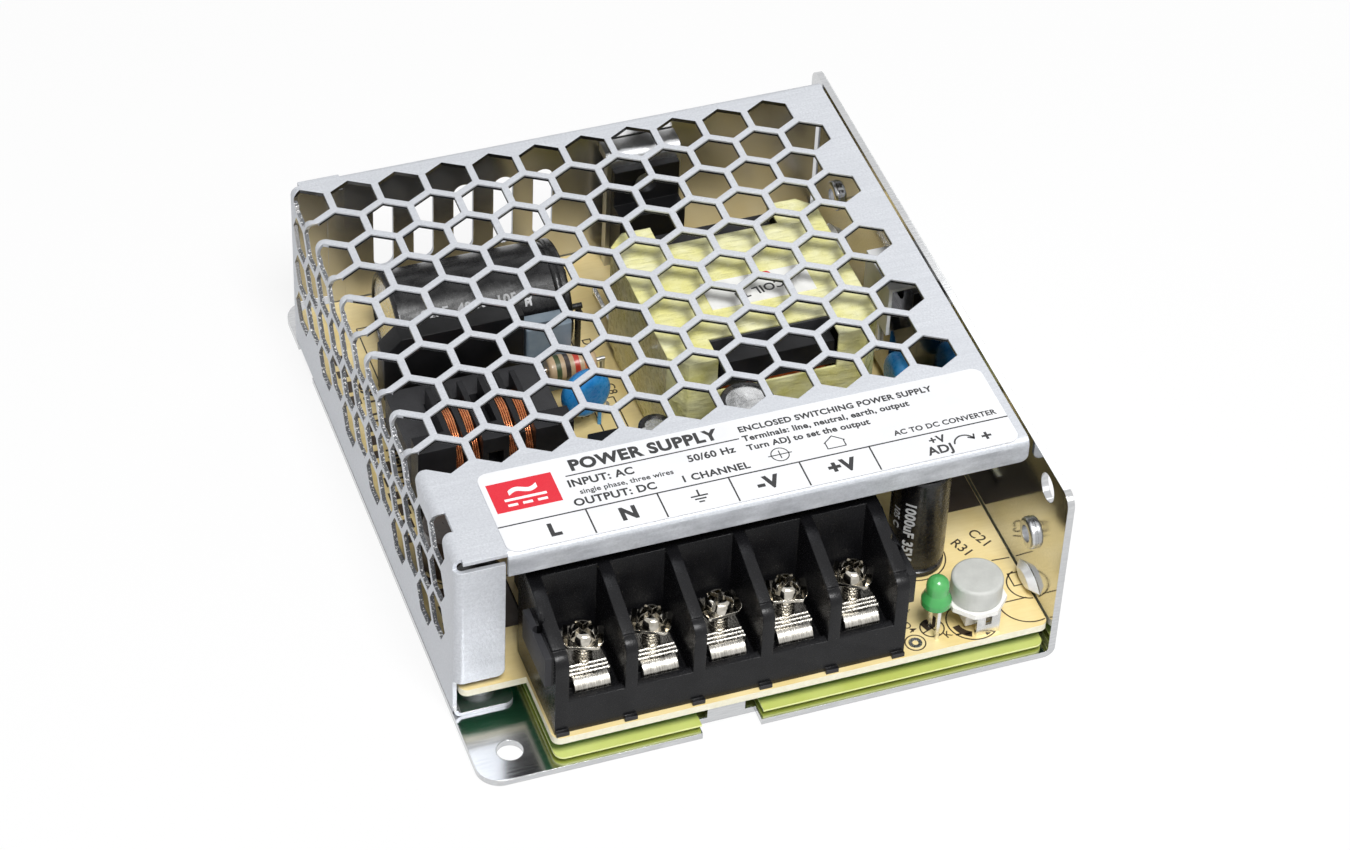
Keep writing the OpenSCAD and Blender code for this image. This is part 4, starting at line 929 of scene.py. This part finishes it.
def soften(node, width, segments):
    """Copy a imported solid, merge it and round its sharp edges. The copy stands for the node."""
    piece = bpy.data.objects.new(node + "_soft", nodes[node].data.copy())
    bpy.context.scene.collection.objects.link(piece)
    only(piece)
    bpy.ops.object.mode_set(mode="EDIT")
    bpy.ops.mesh.select_all(action="SELECT")
    bpy.ops.mesh.customdata_custom_splitnormals_clear()
    bpy.ops.mesh.remove_doubles(threshold=MERGE)
    bpy.ops.mesh.dissolve_limited(angle_limit=math.radians(FLAT_ANGLE))
    bpy.ops.object.mode_set(mode="OBJECT")
    bevel = piece.modifiers.new("round_edges", "BEVEL")
    bevel.width = width * MM
    bevel.segments = segments
    bevel.limit_method = "ANGLE"
    bevel.angle_limit = math.radians(SHARP_ANGLE)
    bpy.ops.object.modifier_apply(modifier=bevel.name)
    bpy.ops.object.shade_smooth_by_angle(angle=math.radians(SMOOTH_ANGLE))
    settle(piece, node + "_soft", finish[NODE_FINISH[node]], node_body[node])
    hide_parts(node)


# Label print: the row of terminal marks with its rules, the title with its lines, the notes and the field

LABEL_MIDDLE = 43.4
LABEL_WIDTH = 72.0
RULE = 0.22
FINE_RULE = 0.16
RULE_Y = 17.4
CELL_Y = 15.05
CELL_DEPTH = 4.6
CELL_EDGES = (19.4, 29.3, 39.3, 49.3, 59.3)
CELL_WORDS = (("L", 14.3), ("N", 24.6), ("-V", 44.0), ("+V", 54.5))
EARTH_X = 34.5
EARTH_LINE = 0.26
EARTH_WIDTHS = (2.4, 1.6, 0.8)
RATINGS = (
    ("INPUT: AC", 23.2, 22.4, 1.85), ("50/60 Hz", 38.6, 22.2, 1.7),
    ("OUTPUT: DC", 24.0, 18.8, 1.85), ("1 CHANNEL", 38.0, 18.8, 1.7))
NOTES_X = 43.6
NOTES = (
    ("ENCLOSED SWITCHING POWER SUPPLY", 25.5), ("Terminals: line, neutral, earth, output", 23.7),
    ("Turn ADJ to set the output", 21.9))
FIELD_X = 12.65
FIELD_LINE = 0.45


def turned_arrow(x, y, z, radius):
    """A bent arrow over the top, for the way to turn the trimmer."""
    line = 0.24
    tip_angle = 20
    tip = math.radians(tip_angle)
    tip_x = x + radius * math.cos(tip)
    tip_y = y + radius * math.sin(tip)
    pieces = [ring(x, y, z, radius + line / 2, line, start=tip_angle, sweep=150)]
    for turn in (75, 150):
        way = math.radians(turn)
        barb_x = tip_x + 0.4 * math.cos(way)
        barb_y = tip_y + 0.4 * math.sin(way)
        pieces.append(bar(barb_x, barb_y, z, 1.0, line, turn=turn))
    return pieces


def house(x, y, z, width):
    """The outline of a house, for use in rooms."""
    half = width / 2
    pieces = [bar(x, y - half * 0.8, z, width, FINE_RULE)]
    for side in (-1, 1):
        pieces.append(bar(x + side * half, y - half * 0.35, z, FINE_RULE, half * 0.95))
        roof_x = x + side * half * 0.55
        pieces.append(bar(roof_x, y + half * 0.5, z, half * 1.5, FINE_RULE, turn=-side * 38))
    return pieces


def earth_sign(z):
    """A stem over three bars that get shorter."""
    pieces = [bar(EARTH_X, 15.9, z, EARTH_LINE, 1.1)]
    for k, width in enumerate(EARTH_WIDTHS):
        pieces.append(bar(EARTH_X, 15.3 - 0.55 * k, z, width, EARTH_LINE))
    return pieces


def crossed_ring(x, y, z):
    """A ring with a long and a short line through its middle."""
    return [ring(x, y, z, 1.3, FINE_RULE), bar(x, y, z, 3.4, FINE_RULE), bar(x, y, z, FINE_RULE, 1.5)]


def label_print():
    z = LABEL_TOP
    black = [bar(LABEL_MIDDLE, RULE_Y, z, LABEL_WIDTH, RULE)]
    for x in CELL_EDGES:
        black.append(bar(x, CELL_Y, z, RULE, CELL_DEPTH))
    for text, x in CELL_WORDS:
        black.append(words(text, x, 14.9, z, 3.1, weight=0.05))
    black.append(words("+V", 68.5, 15.9, z, 1.9))
    black.append(words("ADJ", 68.3, 14.0, z, 2.1))
    black.append(words("+", 75.2, 14.6, z, 2.6))
    black += turned_arrow(72.0, 14.2, z, 1.5)
    black += earth_sign(z)
    black.append(words("POWER SUPPLY", 30.2, 25.6, z, 2.75, weight=0.045))
    black.append(bar(31.0, 23.95, z, 24.4, 0.2))
    for text, x, y, size in RATINGS:
        black.append(words(text, x, y, z, size))
    settle(joined(black), "label_print", finish["print"])
    fine = [words("single phase, three wires", 26.2, 20.6, z, 1.25, weight=0.02)]
    for text, y in NOTES:
        piece = words(text, 0.0, y, z, 1.45, weight=0.035)
        piece.location.x = spot(NOTES_X, 0, 0).x + piece.dimensions.x / 2
        fine.append(piece)
    fine.append(words("AC TO DC CONVERTER", 70.8, 18.7, z, 1.3, weight=0.03))
    fine += house(55.2, 19.6, z, 2.6)
    fine += crossed_ring(47.4, 19.5, z)
    settle(joined(fine), "label_fine_print", finish["print"])
    settle(joined([bar(FIELD_X, 22.6, z, 9.0, 5.5)]), "label_field", finish["red_print"])
    white = [words("~", FIELD_X, 23.6, z + PRINT, 6.4, weight=0.02, stretch=1.1)]
    white.append(bar(FIELD_X, 21.9, z + PRINT, 5.8, FIELD_LINE))
    for k in range(3):
        white.append(bar(10.6 + 2.05 * k, 20.9, z + PRINT, 1.35, FIELD_LINE))
    settle(joined(white), "label_field_mark", finish["white_print"])


# Board print: middles of the lamp and the trimmer, then words, rings, outlines and fields of painted shade
# by their places

LAMP = (65.2, 4.4)
LAMP_TURN = 20
TRIMMER = (71.0, 4.1)
FRONT_PAD = (62.0, 2.5)
FRONT_WORDS = (
    ("C21", 78.0, 18.4, 2.2, -66), ("R31", 74.9, 17.4, 2.2, -66), ("K", 66.8, 2.6, 1.6, 20),
    ("+", 63.2, 8.4, 1.6, 0), ("D4", 62.2, 5.4, 1.6, -66))
CAN_RINGS = ((49.4, 36.6, 4.6), (61.5, 31.0, 5.2), (38.4, 42.6, 3.1), (7.0, 36.0, 4.8))
PART_FRAMES = (
    (22.6, 26.4, 19.6, 9.4), (22.0, 75.8, 29.0, 19.0), (33.3, 46.9, 6.4, 9.6), (36.8, 56.2, 3.6, 9.0))
PART_WORDS = (
    ("R12", 33.4, 59.2), ("C8", 38.8, 62.4), ("D3", 38.6, 72.4), ("R7", 39.4, 78.8), ("C2", 36.0, 86.2))
# Dark fields where the board lies in the cover's shadow: painted shade, drawn in board ink
PAINTED_SHADE_FIELDS = ((9.6, 27.4, 6.6, 11.2), (76.0, 30.4, 9.4, 12.0))
EDGE_HATCH_AND_SHADE_MARKS = 23
EDGE_FIRST = (2.9, 15.7)
EDGE_STEP = 2.9
EDGE_WIDTH = 1.5
EDGE_WORDS_X = 5.2
EDGE_WORDS = (("F1", 17.5), ("INPUT", 26.0), ("FILTER", 40.0), ("NEUTRAL", 54.0), ("CX1  LF1", 69.0))
PAD_DEPTH = 0.03
PAD_STEPS = 24
PADS = ((*FRONT_PAD, 0.95), (36.8, 52.8, 0.8), (36.8, 59.6, 0.8))


def frame_marks(x, y, z, width, depth):
    """The printed outline of a part that stands on the board."""
    sides = []
    for side in (-1, 1):
        sides.append(bar(x, y + side * depth / 2, z, width, LINE))
        sides.append(bar(x + side * width / 2, y, z, LINE, depth))
    return sides


def lamp_and_trimmer_marks(z):
    """Outlines and hatching round the lamp and the trimmer, and dark marks under them, partly print and
    partly painted shadow.
    """
    marks = [ring(*LAMP, z, 1.75, LINE), ring(*TRIMMER, z, 3.7, LINE), ring(*FRONT_PAD, z, 1.5, 0.18)]
    marks += [bar(*LAMP, z, LINE, 3.2, turn=LAMP_TURN), bar(*LAMP, z, 3.2, LINE, turn=LAMP_TURN)]
    for k in range(5):
        marks.append(bar(68.2 + 1.3 * k, 1.7 + 0.25 * abs(2 - k), z, 0.8, 0.3))
    # Thick arcs at the trimmer's base and a patch under the lamp: partly print, partly painted shadow
    marks.append(ring(*TRIMMER, z, 3.1, 1.0, start=185, sweep=66))
    marks.append(ring(*TRIMMER, z, 3.3, 0.9, start=288, sweep=50))
    marks.append(bar(65.3, 5.3, z, 2.6, 1.6, turn=LAMP_TURN))
    return marks


def right_edge_marks(z):
    """Bent and straight lines beside the right wall, and the ring of the front capacitor."""
    marks = [ring(79.6, 5.4, z, 4.2, LINE, start=165, sweep=120)]
    marks.append(ring(81.0, 8.4, z, 3.0, LINE, start=110, sweep=150))
    marks.append(bar(78.0, 5.9, z, 3.6, LINE))
    marks.append(bar(79.0, 9.6, z, LINE, 2.6))
    for y in (8.4, 10.8):
        marks.append(bar(79.7, y, z, 1.6, LINE))
    marks.append(bar(79.2, 13.8, z, 2.6, LINE, turn=-4))
    marks.append(ring(67.8, 17.6, z, 4.5, LINE))
    return marks


def board_print_and_painted_shade():
    z = BOARD_TOP
    marks = lamp_and_trimmer_marks(z) + right_edge_marks(z)
    for text, x, y, size, turn in FRONT_WORDS:
        marks.append(words(text, x, y, z, size, turn=turn, weight=0.01))
    for x, y, radius in CAN_RINGS:
        marks.append(ring(x, y, z, radius, LINE))
    for x, y, width, depth in PART_FRAMES:
        marks += frame_marks(x, y, z, width, depth)
    for text, x, y in PART_WORDS:
        marks.append(words(text, x, y, z, 1.9, turn=-90, weight=0.01))
    # Painted shade: dark fields in the shadow under the cover
    for x, y, width, depth in PAINTED_SHADE_FIELDS:
        marks.append(bar(x, y, z, width, depth))
    # Hatching along the board's left edge: partly print, partly painted shade where the left wall's holes
    # look at the board
    for k in range(EDGE_HATCH_AND_SHADE_MARKS):
        shift = k % 3
        x = EDGE_FIRST[0] + 0.3 * shift
        marks.append(bar(x, EDGE_FIRST[1] + EDGE_STEP * k, z, EDGE_WIDTH, EDGE_WIDTH + 0.4 * shift))
    for text, y in EDGE_WORDS:
        marks.append(words(text, EDGE_WORDS_X, y, z, 2.6, turn=-90, weight=0.03))
    settle(joined(marks), "board_print_and_painted_shade", finish["board_print_and_painted_shade"])
    pads = []
    for x, y, radius in PADS:
        pads.append(ring(x, y, z, radius, radius * 0.55, PAD_DEPTH, PAD_STEPS))
    settle(joined(pads), "board_pads", finish["solder"])


# Lettering on cans and tag: text, its size, its angle round the can and its place along it

CAN_LETTER_DEPTH = 0.06
FRONT_CAN = (67.8, 17.6)
FRONT_CAN_RADIUS = 4.0
FRONT_CAN_WORDS = (("1000uF 35V", 2.1, -2.32, 15.0), ("105 C", 1.5, -2.87, 16.6))
LYING_CAN = (75.8, 14.4)
LYING_CAN_RADIUS = 8.0
TAG_WORDS = (58.0, 55.8)
LYING_CAN_WORDS = (("82uF  400V  105 C", 2.0, 2.34, 21.0), ("M", 1.4, 2.475, 14.4), ("M", 1.4, 2.475, 28.5))


def words_facing(text, size, centre, along, normal, reach):
    """Lettering that runs along one way and faces another, reach millimetres from the centre."""
    piece = words(text, 0.0, 0.0, 0.0, size, thickness=CAN_LETTER_DEPTH)
    piece.rotation_euler = Matrix((along, normal.cross(along), normal)).transposed().to_euler()
    piece.location = spot(*centre) + normal * (reach - CAN_LETTER_DEPTH / 2) * MM
    return piece


def can_print():
    down = Vector((0.0, 0.0, -1.0))
    right = Vector((1.0, 0.0, 0.0))
    upright = []
    for text, size, angle, z in FRONT_CAN_WORDS:
        normal = Vector((math.cos(angle), math.sin(angle), 0.0))
        upright.append(words_facing(text, size, (*FRONT_CAN, z), down, normal, FRONT_CAN_RADIUS))
    settle(joined(upright), "front_can_print", finish["pale_print"])
    lying = []
    for text, size, angle, x in LYING_CAN_WORDS:
        normal = Vector((0.0, math.cos(angle), math.sin(angle)))
        lying.append(words_facing(text, size, (x, *LYING_CAN), right, normal, LYING_CAN_RADIUS))
    settle(joined(lying), "lying_can_print", finish["pale_print"])
    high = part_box("transformer_tag")[1]
    tag = words("COIL T1", *TAG_WORDS, high.z / MM, 2.1, turn=188, weight=0.02)
    settle(joined([tag]), "tag_print", finish["print"])


# Strip behind the rear slit

STRIP_PLACE = (6.6, 92.0, 15.4)
STRIP_WIDTH = 2.4
STRIP_HEIGHT = 24.0
STRIP_THICKNESS = 0.06


def slit_strip():
    """A narrow strip inside the rear wall, behind the slit beside the left wall's rear flap."""
    strip = bar(0.0, 0.0, 0.0, STRIP_WIDTH, STRIP_HEIGHT, STRIP_THICKNESS)
    strip.rotation_euler = (math.radians(90), 0, 0)
    strip.location = spot(*STRIP_PLACE)
    settle(joined([strip]), "cover_slit_strip", finish["cover"])


# Copper turns on the choke: four sections of the bobbin with a wider wall in the middle, four wires on each

CHOKE_START = 9.6
SECTION_WIDTH = 1.55
SECTION_WALL = 0.8
MIDDLE_WALL = 3.0
SECTIONS = 4
WIRES = 4
WIRE_RADIUS = 0.14
WIRE_STEP = 0.32
FIRST_WIRE = 0.68
WIRE_SIDES = 8
TURN_STEPS = 48


def wire_turn(x, axis_y, axis_z, reach):
    """One closed turn of wire about an axis along X, spun from a small circle laid on the winding."""
    wire = WIRE_RADIUS * MM
    top = (x, axis_y, axis_z + reach + wire * 0.3)
    bpy.ops.object.select_all(action="DESELECT")
    bpy.ops.mesh.primitive_circle_add(vertices=WIRE_SIDES, radius=wire, location=top)
    piece = bpy.context.object
    bpy.ops.object.mode_set(mode="EDIT")
    bpy.ops.mesh.select_all(action="SELECT")
    bpy.ops.transform.rotate(value=math.radians(90), orient_axis="X", center_override=top)
    bpy.ops.mesh.spin(steps=TURN_STEPS, angle=math.tau, center=(x, axis_y, axis_z), axis=(1, 0, 0))
    bpy.ops.mesh.select_all(action="SELECT")
    bpy.ops.mesh.remove_doubles(threshold=MERGE)
    bpy.ops.mesh.normals_make_consistent(inside=False)
    bpy.ops.object.mode_set(mode="OBJECT")
    return piece


def choke_turns():
    low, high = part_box("choke_windings")
    axis_y = (low.y + high.y) / 2
    axis_z = (low.z + high.z) / 2
    reach = (high.z - low.z) / 2
    turns = []
    for section in range(SECTIONS):
        start = CHOKE_START + section * (SECTION_WIDTH + SECTION_WALL)
        if section >= SECTIONS / 2:
            start += MIDDLE_WALL
        for k in range(WIRES):
            x = spot(start + FIRST_WIRE + k * WIRE_STEP, 0, 0).x
            turns.append(wire_turn(x, axis_y, axis_z, reach))
    settle(joined(turns), "choke_turns", finish["copper"])
    bpy.ops.object.shade_smooth()


# Studio: a floor and a surround that look white and light the part only dimly, and three soft lights

WHITE = (1.0, 1.0, 1.0, 1.0)
FLOOR_GREY = (0.9, 0.9, 0.9, 1.0)
FLOOR_SIZE = 4.0
FLOOR_LEVEL = -0.0002
FLOOR_GLOW = 0.88
SURROUND_LIGHT = 0.1


def seen_rays(tree):
    """One for rays that show the background: straight to the camera, mirrored or let through."""
    path = put(tree, "ShaderNodeLightPath").outputs
    mirrored = calc(tree, "MAXIMUM", path["Is Glossy Ray"], path["Is Transmission Ray"])
    return calc(tree, "MAXIMUM", path["Is Camera Ray"], mirrored)


def pale_floor():
    bpy.ops.object.select_all(action="DESELECT")
    bpy.ops.mesh.primitive_plane_add(size=FLOOR_SIZE, location=(0, 0, FLOOR_LEVEL))
    floor = bpy.context.object
    floor.name = "floor"
    material = bpy.data.materials.new("pale_floor")
    material.use_nodes = True
    tree = material.node_tree
    tree.nodes.clear()
    plain = put(tree, "ShaderNodeBsdfDiffuse", {"Color": FLOOR_GREY}).outputs[0]
    white = put(tree, "ShaderNodeEmission", {"Color": WHITE, "Strength": 1.0}).outputs[0]
    share = calc(tree, "MULTIPLY", seen_rays(tree), FLOOR_GLOW)
    both = put(tree, "ShaderNodeMixShader", {0: share, 1: plain, 2: white}).outputs[0]
    put(tree, "ShaderNodeOutputMaterial", {"Surface": both})
    floor.data.materials.append(material)


def white_surround():
    world = bpy.data.worlds.new("studio")
    bpy.context.scene.world = world
    world.use_nodes = True
    tree = world.node_tree
    tree.nodes.clear()
    dim = put(tree, "ShaderNodeBackground", {"Color": WHITE, "Strength": SURROUND_LIGHT}).outputs[0]
    white = put(tree, "ShaderNodeBackground", {"Color": WHITE, "Strength": 1.0}).outputs[0]
    both = put(tree, "ShaderNodeMixShader", {0: seen_rays(tree), 1: dim, 2: white}).outputs[0]
    put(tree, "ShaderNodeOutputWorld", {"Surface": both})


def soft_light(name, place, size, power):
    bpy.ops.object.light_add(type="AREA", location=place)
    light = bpy.context.object
    light.name = name
    light.data.size = size
    light.data.energy = power
    light.rotation_euler = (-Vector(place)).to_track_quat("-Z", "Y").to_euler()


def set_studio():
    pale_floor()
    white_surround()
    soft_light("key_light", (-0.02, -0.42, 0.77), 0.3, 7.8)
    soft_light("front_light", (0.2, -0.62, 0.7), 0.5, 0.9)
    soft_light("sheen_light", (0.62, 0.62, 0.62), 0.45, 1.1)


set_camera()
set_studio()
soften("terminal_block", 0.28, 3)
soften("bridge_rectifier", 0.2, 2)
label_print()
board_print_and_painted_shade()
can_print()
slit_strip()
choke_turns()

bpy.context.scene.view_settings.view_transform = "Standard"
